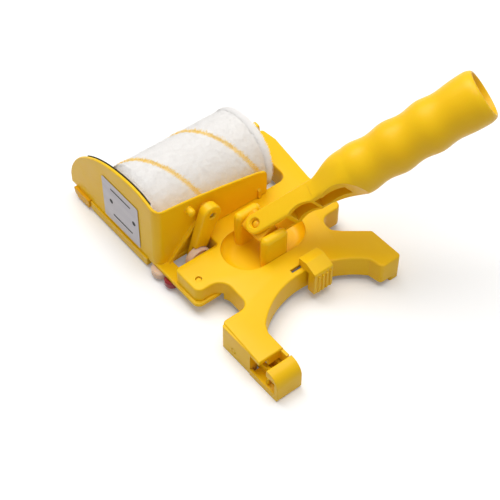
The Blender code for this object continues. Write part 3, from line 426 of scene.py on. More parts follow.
def yarn(name, pale, deep, stripe=None):
    """Soft matt yarn; a stripe colour is laid on where the yellow threads wind round."""
    made, tree, shader = graph_of(name)
    tone = mixed(tree, ranged(tree, noise_at(tree, 230.0, 4.0, 0.65), 0.0, 1.0), pale, deep)
    if stripe:
        place = add_node(tree, "ShaderNodeTexCoord")
        split = add_node(tree, "ShaderNodeSeparateXYZ")
        tree.links.new(place.outputs["Object"], split.inputs["Vector"])

        def maths(operation, a, b=None):
            step = add_node(tree, "ShaderNodeMath", operation=operation)
            for socket, value in zip(step.inputs, (a, b)):
                if isinstance(value, (int, float)):
                    socket.default_value = value
                elif value is not None:
                    tree.links.new(value, socket)
            return step.outputs["Value"]

        y = maths("SUBTRACT", split.outputs["Y"], (ROLLER_Y + FRAME_Y) * MM)
        z = maths("SUBTRACT", split.outputs["Z"], ROLLER_Z * MM)
        turn = maths("DIVIDE", maths("ARCTAN2", z, y), 2 * pi)
        run = maths("DIVIDE", maths("SUBTRACT", split.outputs["X"],
                                    (STRIPE_X + FRAME_X) * MM), STRIPE_STEP * MM)
        phase = maths("SUBTRACT", run, maths("MULTIPLY", turn, STRIPE_STARTS))
        off = maths("ABSOLUTE", maths("SUBTRACT", maths("FRACT", maths("ADD", phase, 0.5)),
                                      0.5))
        amount = ranged(tree, off, 0.75, 0.0, THREAD_HALF * 0.3, THREAD_HALF)
        tone = mixed(tree, amount, tone, stripe)
    tree.links.new(tone, shader.inputs["Base Color"])
    roughened(tree, shader, noise_at(tree, 700.0), 0.85, 1.0)
    shader.inputs["Specular IOR Level"].default_value = 0.15
    shader.inputs["Sheen Weight"].default_value = 0.25
    shader.inputs["Sheen Roughness"].default_value = 0.5
    bumped(tree, shader, noise_at(tree, 1100.0, 5.0, 0.7), 0.35, 0.10)
    return made


STRIPE_X = -2.1                # where one yellow thread crosses the roller's +Y side
STRIPE_STEP = 45.0             # distance between threads along the roller
STRIPE_STARTS = 2.0            # threads wound side by side
THREAD_HALF = 0.055            # half a thread's width, in pitches

FINISH = {
    "abs_yellow": plastic("abs_yellow", (0.97, 0.590, 0.003), (0.945, 0.545, 0.002),
                          (0.97, 0.68, 0.08), soft=0.12),
    "abs_amber": plastic("abs_amber", (0.93, 0.49, 0.004), (0.89, 0.44, 0.003),
                         (0.95, 0.62, 0.10), soft=0.10),
    "core_cream": plastic("core_cream", (0.80, 0.75, 0.66), (0.74, 0.68, 0.58),
                          (0.9, 0.87, 0.8), rough=(0.5, 0.65)),
    # wheel_pale: the pale wheel's own colour with painted warm shade from the yellow body mixed
    # in, which gives the peach tone
    "wheel_pale": plastic("wheel_pale", (0.86, 0.64, 0.48), (0.80, 0.55, 0.38),
                          (0.93, 0.8, 0.7), rough=(0.4, 0.55), soft=0.2),
    "wheel_red": plastic("wheel_red", (0.34, 0.007, 0.012), (0.26, 0.004, 0.008),
                         (0.45, 0.05, 0.05), rough=(0.2, 0.32), coat=0.3),
    "label_grey": film("label_grey"),
    "seal_black": rubber("seal_black"),
    "nap_fabric": yarn("nap_fabric", (0.87, 0.845, 0.815), (0.815, 0.785, 0.75),
                       (0.97, 0.63, 0.15)),
    "steel": metal("steel"),
}
PILE = {
    "cream": yarn("pile_cream", (0.93, 0.905, 0.88), (0.88, 0.85, 0.82)),
    "yellow": yarn("pile_yellow", (1.0, 0.68, 0.14), (0.98, 0.58, 0.08)),
}


# ---------------------------------------------------------------- objects

SLOT_OF = {s["node"]: s["material_slot"] for s in frame["record"]["subparts"]}
BODY_OF = {n: b for b, names in frame["record"]["behaviour"]["bodies"].items() for n in names}
PAINTED = {"foot_pin": "abs_yellow"}   # a moulded pin of the body's own colour
SHARP_ANGLE = 30.0                     # edges that turn by more stay sharp
MADE = []                              # (piece, CAD node, place) in the order they are built

WORLD = Matrix.Diagonal((MM, MM, MM, 1.0)) @ Matrix.Translation((FRAME_X, FRAME_Y, 0.0))
TILTED = (WORLD @ Matrix.Translation((PIVOT_X, PIVOT_Y, PIVOT_Z))
          @ Matrix.Rotation(-radians(TILT), 4, "Y"))
SWUNG = (TILTED @ Matrix.Translation((SWIVEL_OFFSET, 0.0, 0.0))
         @ Matrix.Rotation(-radians(SWIVEL), 4, "Z"))


def make_mesh(name, rings, closed=False):
    """Mesh in millimetres from rings that make one skin, capped or closed on itself."""
    bm = bmesh.new()
    rows = [[bm.verts.new(Vector(p)) for p in ring] for ring in rings]
    pairs = list(zip(rows, rows[1:]))
    if closed:
        pairs.append((rows[-1], rows[0]))
    for low, high in pairs:
        count = len(low)
        for i in range(count):
            j = (i + 1) % count
            bm.faces.new((low[i], low[j], high[j], high[i]))
    if not closed:
        bm.faces.new(list(reversed(rows[0])))
        bm.faces.new(rows[-1])
    bmesh.ops.recalc_face_normals(bm, faces=bm.faces)
    mesh = bpy.data.meshes.new(name)
    bm.to_mesh(mesh)
    bm.free()
    return mesh


def new_object(name, mesh):
    piece = bpy.data.objects.new(name, mesh)
    bpy.context.scene.collection.objects.link(piece)
    return piece


def node(name, rings, place=WORLD, closed=False):
    """A visible piece that stands for the CAD node of that name."""
    piece = new_object("vis_" + name, make_mesh(name, rings, closed))
    MADE.append((piece, name, place))
    return piece


def shape(piece, operation, rings):
    tool = new_object(piece.name + "_tool", make_mesh("tool", rings))
    change = piece.modifiers.new(operation.title(), "BOOLEAN")
    change.operation = operation
    change.solver = "EXACT"
    change.object = tool


def join(piece, rings):
    shape(piece, "UNION", rings)


def cut(piece, rings):
    shape(piece, "DIFFERENCE", rings)


def settle(piece, name, place):
    """Applies a piece's cuts and joins, puts it in its place in metres and hands it over."""
    graph = bpy.context.evaluated_depsgraph_get()
    mesh = bpy.data.meshes.new_from_object(piece.evaluated_get(graph))
    tools = [m.object for m in piece.modifiers if m.type == "BOOLEAN"]
    piece.modifiers.clear()
    piece.data = mesh
    for tool in tools:
        bpy.data.objects.remove(tool, do_unlink=True)
    mesh.transform(place)
    bm = bmesh.new()
    bm.from_mesh(mesh)
    bmesh.ops.remove_doubles(bm, verts=bm.verts, dist=1e-6)
    bmesh.ops.dissolve_degenerate(bm, edges=bm.edges, dist=1e-6)
    bm.to_mesh(mesh)
    bm.free()
    mesh.shade_smooth()
    mesh.set_sharp_from_angle(angle=radians(SHARP_ANGLE))
    finish_piece(piece, name)
    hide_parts(name)


def finish_piece(piece, node_name, slot=None):
    slot = slot or PAINTED.get(node_name) or SLOT_OF[node_name]
    piece.data.materials.clear()
    piece.data.materials.append(FINISH[slot])
    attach(piece, BODY_OF[node_name])


# ---------------------------------------------------------------- base

def base_outline():
    """Plan of the base plate, anticlockwise from the left lobe's back corner."""
    left = MID_X - LOBE_OUT
    right = MID_X + LOBE_OUT
    notch_left = MID_X - NOTCH_IN
    notch_right = MID_X + NOTCH_IN
    corners = [
        (left, BACK_Y, 4.0),
        (left, LOBE_FRONT_Y, 5.0),
        (notch_left, LOBE_FRONT_Y, 10.0),
        (notch_left - 1.0, FOOT_BACK_Y, 7.0),
        (FOOT_OUT_X + 2.2, FOOT_BACK_Y, 3.0),
        (FOOT_OUT_X, FOOT_PLATE_END_Y, 0.0),
        (FOOT_IN_X, FOOT_PLATE_END_Y, 0.0),
        (FOOT_IN_X + 0.3, FOOT_INSIDE_Y, 3.0),
    ]
    start = acos((FOOT_IN_X + 3.0 - MID_X) / ARC_R)
    end = acos((ARM_IN_X - 2.0 - MID_X) / ARC_R)
    steps = 56
    for k in range(steps + 1):
        a = start + (end - start) * k / steps
        corners.append((MID_X + ARC_R * cos(a), ARC_Y + ARC_R * sin(a), 0.0))
    corners += [
        (ARM_IN_X, ARM_END_Y, 2.8),
        (ARM_OUT_X, ARM_END_Y, 2.8),
        (ARM_OUT_X - 0.5, FOOT_BACK_Y - 1.5, 3.0),
        (notch_right + 5.6, LOBE_FRONT_Y - 17.6, 5.0),
        (notch_right, LOBE_FRONT_Y - 12.0, 4.0),
        (notch_right, LOBE_FRONT_Y, 8.0),
        (right, LOBE_FRONT_Y, 5.0),
        (right, BACK_Y + 10.0, 4.0),
        (FAR_ARM_OUT_X, FAR_ARM_END_Y - 14.0, 6.0),
        (FAR_ARM_OUT_X - 1.5, FAR_ARM_END_Y, 3.0),
        (WINDOW_X + 2.0, FAR_ARM_END_Y, 3.0),
        (WINDOW_X, WINDOW_Y, 7.0),
        (OPENING_X, WINDOW_Y, 0.0),
        (OPENING_X, BACK_Y, 1.5),
    ]
    return fillet(corners)


def stadium(radius, half_length, steps=30):
    """Outline with round ends along X, about the bowl's centre."""
    right = [(half_length + radius * cos(a), radius * sin(a))
             for a in [-pi / 2 + pi * k / steps for k in range(steps + 1)]]
    left = [(-half_length + radius * cos(a), radius * sin(a))
            for a in [pi / 2 + pi * k / steps for k in range(steps + 1)]]
    return [(MID_X + x, PIVOT_Y + y) for x, y in right + left]


def bowl_rings(grow, top):
    """The bowl's surface as stacked stadiums that curve in towards its floor."""
    rings = []
    steps = 12
    for k in range(steps + 1):
        a = pi / 2 * k / steps
        radius = BOWL_R + grow - (BOWL_R * 0.42) * (1 - sin(a))
        z = PLATE_TOP - BOWL_DEPTH - grow + (BOWL_DEPTH + grow) * (1 - cos(a))
        rings.append(level(stadium(radius, BOWL_HALF_LEN), z))
    rings.append(level(stadium(BOWL_R + grow, BOWL_HALF_LEN), top))
    return rings


def post_outline(side):
    """Plan of a pivot post: side is -1 for the front one and +1 for the back one."""
    near = PIVOT_Y + side * POST_GAP / 2
    far = near + side * POST_THICK
    return rounded_box(PIVOT_X - POST_LENGTH / 2, PIVOT_X + POST_LENGTH / 2,
                       min(near, far), max(near, far), POST_ROUND + 0.05)


def base_shell():
    outline = base_outline()
    shell = node("base_shell", slab(outline, SKIRT_BOTTOM, PLATE_TOP, EDGE_ROUND))
    foot_pads = (
        (FOOT_OUT_X + 0.4, FOOT_OUT_X + 6.4, FOOT_PLATE_END_Y + 0.5, FOOT_BACK_Y - 2.0),
        (ARM_OUT_X - 8.0, ARM_OUT_X - 0.4, ARM_END_Y + 0.5, ARM_END_Y + 22.0),
        (FAR_ARM_OUT_X - 8.0, FAR_ARM_OUT_X - 2.4, FAR_ARM_END_Y - 30.0, FAR_ARM_END_Y - 6.0),
    )
    cut(shell, [level(inset(outline, WALL), z)
                for z in (SKIRT_BOTTOM - 1.0, PLATE_TOP - PLATE_THICK)])
    for x0, x1, y0, y1 in foot_pads:
        join(shell, slab(rounded_box(x0, x1, y0, y1, 1.5), 0.0, PLATE_TOP - 1.0))
    for x0, x1, y0, y1 in ((-28.0, 54.0, -21.9, -20.3), (-12.0, -10.4, -40.0, 36.0),
                           (43.0, 44.6, -42.0, 36.0), (64.0, 79.0, 50.0, 51.6)):
        join(shell, block(x0, x1, y0, y1, SKIRT_BOTTOM + 3.0, PLATE_TOP - 1.0))
    join(shell, bowl_rings(PLATE_THICK, PLATE_TOP - 0.8))
    cut(shell, bowl_rings(0.0, PLATE_TOP + 1.0))
    for side in (-1, 1):
        join(shell, slab(post_outline(side), PLATE_TOP - BOWL_DEPTH - 1.0, POST_TOP,
                         POST_ROUND, steps=8))
    reach = POST_GAP / 2 + TRUNNION_OUT + GAP
    cut(shell, rod("Y", TRUNNION_R + GAP, -reach, reach, (PIVOT_X, PIVOT_Y, PIVOT_Z), 20))
    # room for the guard's deck under the left lobe, and for the slide and the sprung foot
    cut(shell, block(MID_X - LOBE_OUT - 5.0, OPENING_X - 0.8, DECK_FRONT_Y - 2.0, BACK_Y + 5.0,
                     SKIRT_BOTTOM - 2.0, DECK_TOP + GAP))
    cut(shell, block(SLIDE_X0 - 8.0, SLIDE_X1, -33.4, -30.6, SKIRT_BOTTOM, PLATE_TOP + 2.0))
    cut(shell, block(FOOT_OUT_X + WALL, FOOT_IN_X - WALL, FOOT_PLATE_END_Y - 2.0,
                     FOOT_PLATE_END_Y + 4.0, -1.0, FOOT_MOUTH_Z))
    join(shell, block(FOOT_IN_X - WALL, FOOT_IN_X, FOOT_WALL_END_Y, FOOT_PLATE_END_Y + 3.0, 0.8,
                      PLATE_TOP - 1.4))
    cut(shell, block(FOOT_OUT_X - 1.0, FOOT_OUT_X + 8.0, FOOT_PLATE_END_Y - 2.0, -67.5, -1.0,
                     PLATE_TOP - PLATE_THICK - 0.6))
    cut(shell, rod("X", HOOK_PIN_R + GAP, FOOT_OUT_X - 2.0, FOOT_IN_X - 0.9, HOOK_PIN))
    cut(shell, rod("Z", RIVET_R + GAP, DECK_TOP, PLATE_TOP + 1.0, RIVET))
    for x, y in BRACKET_SCREWS:
        cut(shell, rod("Z", BRACKET_SCREW_R + GAP, 8.0, PLATE_TOP + 1.0, (x, y, 0.0), 12))


def guard_rivet():
    rings = turned([(RIVET_HEAD_R, DECK_BOTTOM - 1.6), (RIVET_HEAD_R, DECK_BOTTOM - GAP),
                    (RIVET_R, DECK_BOTTOM - GAP), (RIVET_R, PLATE_TOP - 1.4),
                    (RIVET_R - 0.6, PLATE_TOP - 0.9)], 20)
    node("guard_rivet", along(rings, "Z", RIVET))


# ---------------------------------------------------------------- guard

def shield_top(y):
    """Height of the shield's arched top edge at a distance y."""
    reach = SHIELD_TIP_Y - SHIELD_PEAK_Y if y > SHIELD_PEAK_Y else 54.0
    rise = SHIELD_PEAK_Z - SHIELD_BOTTOM
    return SHIELD_BOTTOM + rise * sqrt(max(0.0, 1 - ((y - SHIELD_PEAK_Y) / reach) ** 2))


def wall_top(x):
    """Height of the splash wall's sloping top edge."""
    share = (x - SHIELD_X) / (WALL_END_X - SHIELD_X)
    return WALL_CORNER_Z + (WALL_END_Z - WALL_CORNER_Z) * share ** 1.35


def guard_path():
    """Stations (x, y, nx, ny, top): the shield from its tip, the corner, then the wall."""
    stations = []
    steps = 56
    for k in range(steps + 1):
        a = radians(8) + radians(82) * k / steps
        y = SHIELD_PEAK_Y + (SHIELD_TIP_Y - SHIELD_PEAK_Y) * cos(a)
        stations.append((SHIELD_X, y, 1.0, 0.0, shield_top(y)))
    for y in (54.0, 48.0, 44.0):
        stations.append((SHIELD_X, y, 1.0, 0.0, shield_top(y)))
    corner_top = shield_top(WALL_Y + WALL_CORNER_R)
    for k in range(17):
        a = pi / 2 * k / 16
        top = corner_top + (wall_top(SHIELD_X + WALL_CORNER_R) - corner_top) * k / 16
        stations.append((SHIELD_X + WALL_CORNER_R * (1 - cos(a)),
                         WALL_Y + WALL_CORNER_R * (1 - sin(a)), cos(a), sin(a), top))
    for x in (-38.0, -26.0, OPENING_X - 1.1, OPENING_X - 0.7, 2.0, 16.0, 28.0, 36.0):
        stations.append((x, WALL_Y, 0.0, 1.0, wall_top(x)))
    for k in range(9):
        a = pi / 2 * k / 8
        stations.append((WALL_END_X - 4.0 + 4.0 * sin(a), WALL_Y, 0.0, 1.0,
                         WALL_END_Z - 4.0 + 4.0 * cos(a)))
    return stations


def wall_bottom(x, y):
    """The wall stands on the deck at the left and on the base plate at the right."""
    if y > WALL_Y + 0.5 or x < OPENING_X - 1.0:
        return SHIELD_BOTTOM - 1.0
    return PLATE_TOP + GAP


def guard_ribbon():
    rings = []
    for x, y, nx, ny, top in guard_path():
        thick = SHIELD_THICK if y > WALL_Y + 1.0 else WALL_THICK
        low = wall_bottom(x, y)
        crown = min(0.6, (top - low) / 3)
        section = ((0.0, low), (0.0, top - crown), (thick * 0.3, top), (thick * 0.7, top),
                   (thick, top - crown), (thick, low))
        rings.append([(x + nx * d, y + ny * d, z) for d, z in section])
    return rings


def deck_outline():
    """Plan of the deck: from the shield's foot to under the left lobe."""
    return fillet([
        (SHIELD_X, 46.0, 0.0),
        (SHIELD_X, DECK_FRONT_Y, 5.0),
        (-31.5, DECK_FRONT_Y, 8.0),
        (-27.5, -6.0, 3.0),
        (OPENING_X - 1.1, -2.0, 2.0),
        (OPENING_X - 1.1, WALL_Y + WALL_THICK, 0.0),
        (SHIELD_X + 9.0, WALL_Y + WALL_THICK, 1.0),
        (SHIELD_X + SHIELD_THICK + 1.0, 46.0, 0.0),
    ])


def guard_shell():
    shell = node("guard_shell", guard_ribbon())
    join(shell, slab(deck_outline(), DECK_BOTTOM, DECK_TOP, 0.5, steps=2))
    # opening in the deck for the arm and its wheel
    cut(shell, block(-41.4, OPENING_X - 2.1, 19.6, 33.8, DECK_BOTTOM - 1.0, DECK_TOP + 1.0))
    # gusset from the wall down to the deck, and the rib at the wall's far end
    brace = [(-20.6, PLATE_TOP + 14.0), (-18.2, PLATE_TOP + 14.0), (-41.2, DECK_TOP - 0.5),
             (-45.0, DECK_TOP - 0.5)]
    join(shell, [[(x, y, z) for x, z in brace] for y in (WALL_Y + 0.4, WALL_Y - 2.4)])
    rib = [(WALL_Y + 0.4, PLATE_TOP + GAP), (WALL_Y + 0.4, PLATE_TOP + 9.0),
           (WALL_Y - 1.6, PLATE_TOP + 7.5), (WALL_Y - 1.6, PLATE_TOP + GAP)]
    join(shell, plank(rib, 34.0, 36.2))
    # pivot boss of the wheel arm, and a round stop beside it
    boss = turned([(4.6, -0.8), (4.6, WALL_Y - ARM_Y1 - GAP)], 20)
    join(shell, along(boss, "Y", (ARM_PIVOT_X, ARM_Y1 + GAP + 0.8, ARM_PIVOT_Z)))
    stop = turned([(1.2, -6.2), (2.4, -5.4), (2.8, -4.0), (2.8, 0.8)], 20)
    join(shell, along(stop, "Y", (-25.5, WALL_Y, 50.5)))
    # boss for the roller's axle, on the shield's inner face
    boss = turned([(8.5, -0.8), (8.5, 1.6), (7.5, 2.6)], 24)
    join(shell, along(boss, "X", (SHIELD_X + SHIELD_THICK, ROLLER_Y, ROLLER_Z)))
    cut(shell, rod("X", AXLE_R + GAP, SHIELD_X + 1.2, ROLLER_X0, ROLLER_AXIS, 20))
    cut(shell, rod("Y", ARM_PIN_R + GAP, ARM_Y1 - 1.0, WALL_Y + WALL_THICK + 1.0, ARM_PIN))
    cut(shell, rod("Z", RIVET_R + GAP, DECK_BOTTOM - 1.0, DECK_TOP + 1.0, RIVET))
    for _, x, y, _ in TRIM_WHEELS:
        cut(shell, rod("Z", TRIM_AXLE_R + GAP, DECK_BOTTOM - 1.0, 10.2, (x, y, 0.0), 12))


def shield_seal():
    """Thin black lip along the inner side of the shield's arched edge."""
    rings = []
    steps = 16
    x0 = SHIELD_X + SHIELD_THICK + GAP
    x1 = x0 + 0.5
    for k in range(steps + 1):
        y = SEAL_Y1 - (SEAL_Y1 - SEAL_Y0) * k / steps
        top = shield_top(y) + 0.1
        low = top - 4.0
        rings.append([(x0, y, low), (x0, y, top), (x1, y, top), (x1, y, low)])
    node("shield_seal", rings)


def guard_label():
    outline = rounded_box(LABEL_Y0, LABEL_Y1, LABEL_Z0, LABEL_Z1, 1.2)
    x0 = SHIELD_X - GAP - LABEL_THICK
    node("guard_label", plank(outline, x0, x0 + LABEL_THICK))


def guide_bar():
    """Runner along the shield's foot, with a ribbed glide behind its tip."""
    top = SHIELD_BOTTOM - 1.0 - GAP
    side = [(46.4, 2.4), (49.4, 1.4), (112.0, 1.4), (115.0, 3.0), (115.0, top), (46.4, top)]
    node("guide_bar", plank(side, SHIELD_X - 1.2, SHIELD_X + 3.0))
    glide = [(GLIDE_Y0, top), (GLIDE_Y0, 2.4)]
    for k in range(GLIDE_TEETH):
        y = GLIDE_Y0 + GLIDE_PITCH * k
        glide += [(y + 0.9, 1.4), (y + 1.9, 1.4), (y + GLIDE_PITCH, 3.0)]
    glide += [(133.5, 4.6), (134.5, top)]
    node("tip_glide", plank(glide, SHIELD_X - 2.4, SHIELD_X + 3.6))


# ---------------------------------------------------------------- roller

def roller_core_and_caps():
    x0, x1 = ROLLER_X0, ROLLER_X1
    core_r = NAP_IN_R - GAP
    core = turned([(core_r - CORE_WALL, x0 + 0.6), (core_r, x0 + 0.6), (core_r, x1 - 0.6),
                   (core_r - CORE_WALL, x1 - 0.6)], 36)
    node("roller_core", along(core, "X", ROLLER_AXIS), closed=True)
    plug_r = core_r - CORE_WALL - GAP
    bore = AXLE_R + GAP
    hub_r = bore + 2.2
    for name, outer, inner in (("roller_cap_near", x0 + 1.2, 1.0),
                               ("roller_cap_far", x1 - 1.2, -1.0)):
        cap = [(bore, outer), (plug_r, outer), (plug_r, outer + inner * CAP_THICK),
               (plug_r - 1.6, outer + inner * (CAP_THICK + 6.0)),
               (plug_r - 3.2, outer + inner * (CAP_THICK + 6.0)),
               (plug_r - 3.2, outer + inner * 2.2), (hub_r, outer + inner * 2.2),
               (hub_r, outer + inner * (CAP_THICK + 8.0)),
               (bore, outer + inner * (CAP_THICK + 8.0))]
        if inner < 0:
            cap.reverse()
        node(name, along(turned(cap), "X", ROLLER_AXIS), closed=True)


def roller_mount():
    x_end = BRACKET_X + BRACKET_THICK + 3.6
    axle = turned([(AXLE_R - 0.5, SHIELD_X + 1.5), (AXLE_R, SHIELD_X + 2.0),
                   (AXLE_R, x_end - 0.5), (AXLE_R - 0.5, x_end)], 24)
    node("roller_axle", along(axle, "X", ROLLER_AXIS))
    # bracket that holds the axle's far end: an upright plate and a flange on the far arm
    foot, peak = PLATE_TOP + 0.6, ROLLER_Z + 21.8
    plate = fillet([(ROLLER_Y - 11.0, foot, 1.0), (ROLLER_Y + 12.0, foot, 1.0),
                    (ROLLER_Y + 9.0, ROLLER_Z + 8.0, 6.0), (ROLLER_Y - 2.0, peak, 1.6),
                    (ROLLER_Y - 7.0, peak, 1.6), (ROLLER_Y - 9.0, ROLLER_Z + 8.0, 4.0)])
    x0, x1 = BRACKET_X, BRACKET_X + BRACKET_THICK
    bracket = node("far_bracket", plank(plate, x0, x1))
    join(bracket, slab(rounded_box(x0 + 0.5, 71.2, ROLLER_Y - 3.2, ROLLER_Y + 12.0, 2.0),
                       PLATE_TOP + GAP, FLANGE_TOP, 0.6, steps=2))
    cut(bracket, rod("X", AXLE_R + GAP, x0 - 1.0, x1 + 1.0, ROLLER_AXIS, 20))
    for x, y in BRACKET_SCREWS:
        cut(bracket, rod("Z", BRACKET_SCREW_R + GAP, PLATE_TOP - 1.0, PLATE_TOP + 4.0,
                         (x, y, 0.0), 12))
    clip_x = x1 + GAP
    clip = turned([(AXLE_R + 1.0, clip_x), (AXLE_R + 3.8, clip_x), (AXLE_R + 3.8, clip_x + 1.6),
                   (AXLE_R + 1.0, clip_x + 1.6)], 6)
    node("axle_clip", along(clip, "X", ROLLER_AXIS), closed=True)
    top = FLANGE_TOP + GAP
    screw = turned([(1.0, 10.0), (BRACKET_SCREW_R, 11.5), (BRACKET_SCREW_R, top), (3.0, top),
                    (3.0, top + 0.8), (2.0, top + 1.7)], 16)
    for name, (x, y) in zip(("bracket_screw_front", "bracket_screw_rear"), BRACKET_SCREWS):
        node(name, along(screw, "Z", (x, y, 0.0)))


# ---------------------------------------------------------------- wheel arm and side rollers

def capsule(ax, az, ar, bx, bz, br, steps=32):
    """Anticlockwise outline around two circles of a link, in (x, z)."""
    heading = atan2(bz - az, bx - ax)
    lean = acos((ar - br) / hypot(bx - ax, bz - az))
    points = []
    for k in range(steps + 1):
        a = heading + lean + (2 * pi - 2 * lean) * k / steps
        points.append((ax + ar * cos(a), az + ar * sin(a)))
    for k in range(steps + 1):
        a = heading - lean + 2 * lean * k / steps
        points.append((bx + br * cos(a), bz + br * sin(a)))
    return points


def upright(outline, y0, y1, edge=0.0):
    """Rings of a solid whose side view (x, z) runs from y0 to y1, with a rounded near edge."""
    rings = slab(outline, -y1, -y0, edge, steps=3)
    return [[(x, -z, y) for x, y, z in ring] for ring in rings]


def wheel_arm():
    outline = capsule(ARM_PIVOT_X, ARM_PIVOT_Z, ARM_TOP_R, WHEEL_X, WHEEL_Z, 4.8)
    arm = node("wheel_arm", upright(outline, ARM_Y0, ARM_Y1, 1.6))
    cut(arm, rod("Y", ARM_PIN_R + GAP, ARM_Y0 + 1.2, ARM_Y1 + 1.0, ARM_PIN))
    pit = turned([(2.0, 1.3), (3.0, -0.2), (3.4, -1.0)], 20)
    cut(arm, along(pit, "Y", (ARM_PIVOT_X, ARM_Y0, ARM_PIVOT_Z)))
    cut(arm, rod("Y", WHEEL_AXLE_R + GAP, ARM_Y0 - 1.0, ARM_Y1 + 1.0, WHEEL_PIN))
    cut(arm, upright(circle(WHEEL_R + 0.8, 32, WHEEL_X, WHEEL_Z), ARM_Y0 - 1.0, ARM_Y0 + 3.6))
    end = WALL_Y + WALL_THICK
    pin = turned([(ARM_PIN_R - 0.5, ARM_Y0 + 1.6), (ARM_PIN_R, ARM_Y0 + 2.0),
                  (ARM_PIN_R, end + 0.8), (ARM_PIN_R - 0.5, end + 1.2)], 16)
    node("wheel_arm_pin", along(pin, "Y", ARM_PIN))


def arm_wheel():
    y0, y1 = ARM_Y0 - 2.6, ARM_Y0 + 3.2
    bore = WHEEL_AXLE_R + GAP
    tyre = turned([(bore, y0), (4.0, y0), (4.6, y0 + 0.8), (WHEEL_R - 2.0, y0 + 0.8),
                   (WHEEL_R - 0.8, y0), (WHEEL_R, y0 + 0.9), (WHEEL_R, y1 - 0.9),
                   (WHEEL_R - 0.8, y1), (bore, y1)])
    node("arm_wheel", along(tyre, "Y", WHEEL_PIN), closed=True)
    axle = turned([(3.6, y0 - GAP - 1.2), (3.6, y0 - GAP), (WHEEL_AXLE_R, y0 - GAP),
                   (WHEEL_AXLE_R, ARM_Y1 + 0.4)], 20)
    node("arm_wheel_axle", along(axle, "Y", WHEEL_PIN))


def trim_wheels():
    for name, x, y, radius in TRIM_WHEELS:
        bore = TRIM_AXLE_R + GAP
        z0, z1 = TRIM_WHEEL_Z0, TRIM_WHEEL_Z1
        rings = turned([(bore, z0), (radius - 1.4, z0), (radius - 0.4, z0 + 0.6),
                        (radius, z0 + 1.6), (radius, z1 - 1.0), (radius - 0.8, z1),
                        (bore, z1)], 28)
        node(name, along(rings, "Z", (x, y, 0.0)), closed=True)
        head = TRIM_AXLE_R + 1.2
        axle = turned([(head - 0.4, z0 - GAP - 0.9), (head, z0 - GAP - 0.5), (head, z0 - GAP),
                       (TRIM_AXLE_R, z0 - GAP), (TRIM_AXLE_R, 9.6), (TRIM_AXLE_R - 0.4, 9.9)], 20)
        node(name + "_axle", along(axle, "Z", (x, y, 0.0)))


# ---------------------------------------------------------------- thumb slide and sprung foot

def thumb_slide():
    """Slide with a sloping top over the arc's edge and a ribbed face hanging below it."""
    arc_face = ARC_Y + ARC_R
    side = [(-30.2, PLATE_TOP + GAP), (-30.2, 28.6), (-37.6, 29.6), (-46.4, 25.6), (-47.0, 24.6),
            (-47.0, 6.0), (arc_face - 3.6, 6.0), (arc_face - 3.6, PLATE_TOP + GAP)]
    slide = node("thumb_slide", plank(side, SLIDE_X0, SLIDE_X1))
    for k in range(4):
        x = SLIDE_X0 + 3.0 + 3.4 * k
        join(slide, slab(rounded_box(x, x + 1.6, -48.0, -46.5, 0.4), 7.0, 22.0))
    join(slide, block(SLIDE_X0 + 1.0, SLIDE_X1 - 1.0, -33.0, -31.0, 17.0, PLATE_TOP + 1.0))


def sprung_foot():
    """Rounded foot end on two arms that turn about a pin inside the foot."""
    nose = fillet([(FOOT_END_Y, 0.0, 1.5), (HOOK_NOSE_Y, 0.0, 0.6),
                   (HOOK_NOSE_Y, PLATE_TOP, 0.8), (FOOT_END_Y, PLATE_TOP, 9.6)], 7)
    nose = [(round(y, 6), round(z, 6)) for y, z in nose]   # its floor lies on z = 0
    x0, x1 = FOOT_OUT_X - 0.1, FOOT_IN_X + 0.1
    foot = node("sprung_foot", plank(nose, x0, x1))
    cut(foot, block(x0 - 1.0, x1 - 2.4, FOOT_END_Y + 3.0, HOOK_NOSE_Y + 1.0, 2.4,
                    PLATE_TOP - 5.6))
    arm_r = 4.0
    arm = [(HOOK_NOSE_Y - 9.0, HOOK_PIN_Z - arm_r)]
    for k in range(9):
        a = pi * k / 8 - pi / 2
        arm.append((HOOK_PIN_Y + arm_r * cos(a), HOOK_PIN_Z + arm_r * sin(a)))
    arm.append((HOOK_NOSE_Y - 9.0, HOOK_PIN_Z + arm_r))
    for x in (FOOT_OUT_X + WALL + 4.6, FOOT_IN_X - WALL - GAP - 2.4):
        join(foot, plank(arm, x, x + 2.2))
    join(foot, block(x0 + 1.0, FOOT_IN_X - WALL - 1.0, HOOK_NOSE_Y - 8.0, -70.0, 2.6, 4.4))
    join(foot, block(x0, x0 + 2.0, FOOT_END_Y + 1.0, -67.9, 0.0, 5.2))
    for rib in (((-53.0, -83.4), (-51.8, -84.6), (-43.4, -79.4), (-44.4, -78.2)),
                ((-49.4, -85.4), (-48.0, -85.4), (-45.2, -80.6), (-46.6, -80.0))):
        join(foot, [level(rib, z) for z in (3.4, 10.4)])
    cut(foot, rod("X", HOOK_PIN_R + GAP, FOOT_OUT_X + 1.0, FOOT_IN_X, HOOK_PIN))
    pin = turned([(HOOK_PIN_R - 0.4, FOOT_OUT_X + 0.4), (HOOK_PIN_R, FOOT_OUT_X + 0.8),
                  (HOOK_PIN_R, FOOT_IN_X - 1.5)], 16)
    node("foot_pin", along(pin, "X", HOOK_PIN))


# ---------------------------------------------------------------- tilt block and handle

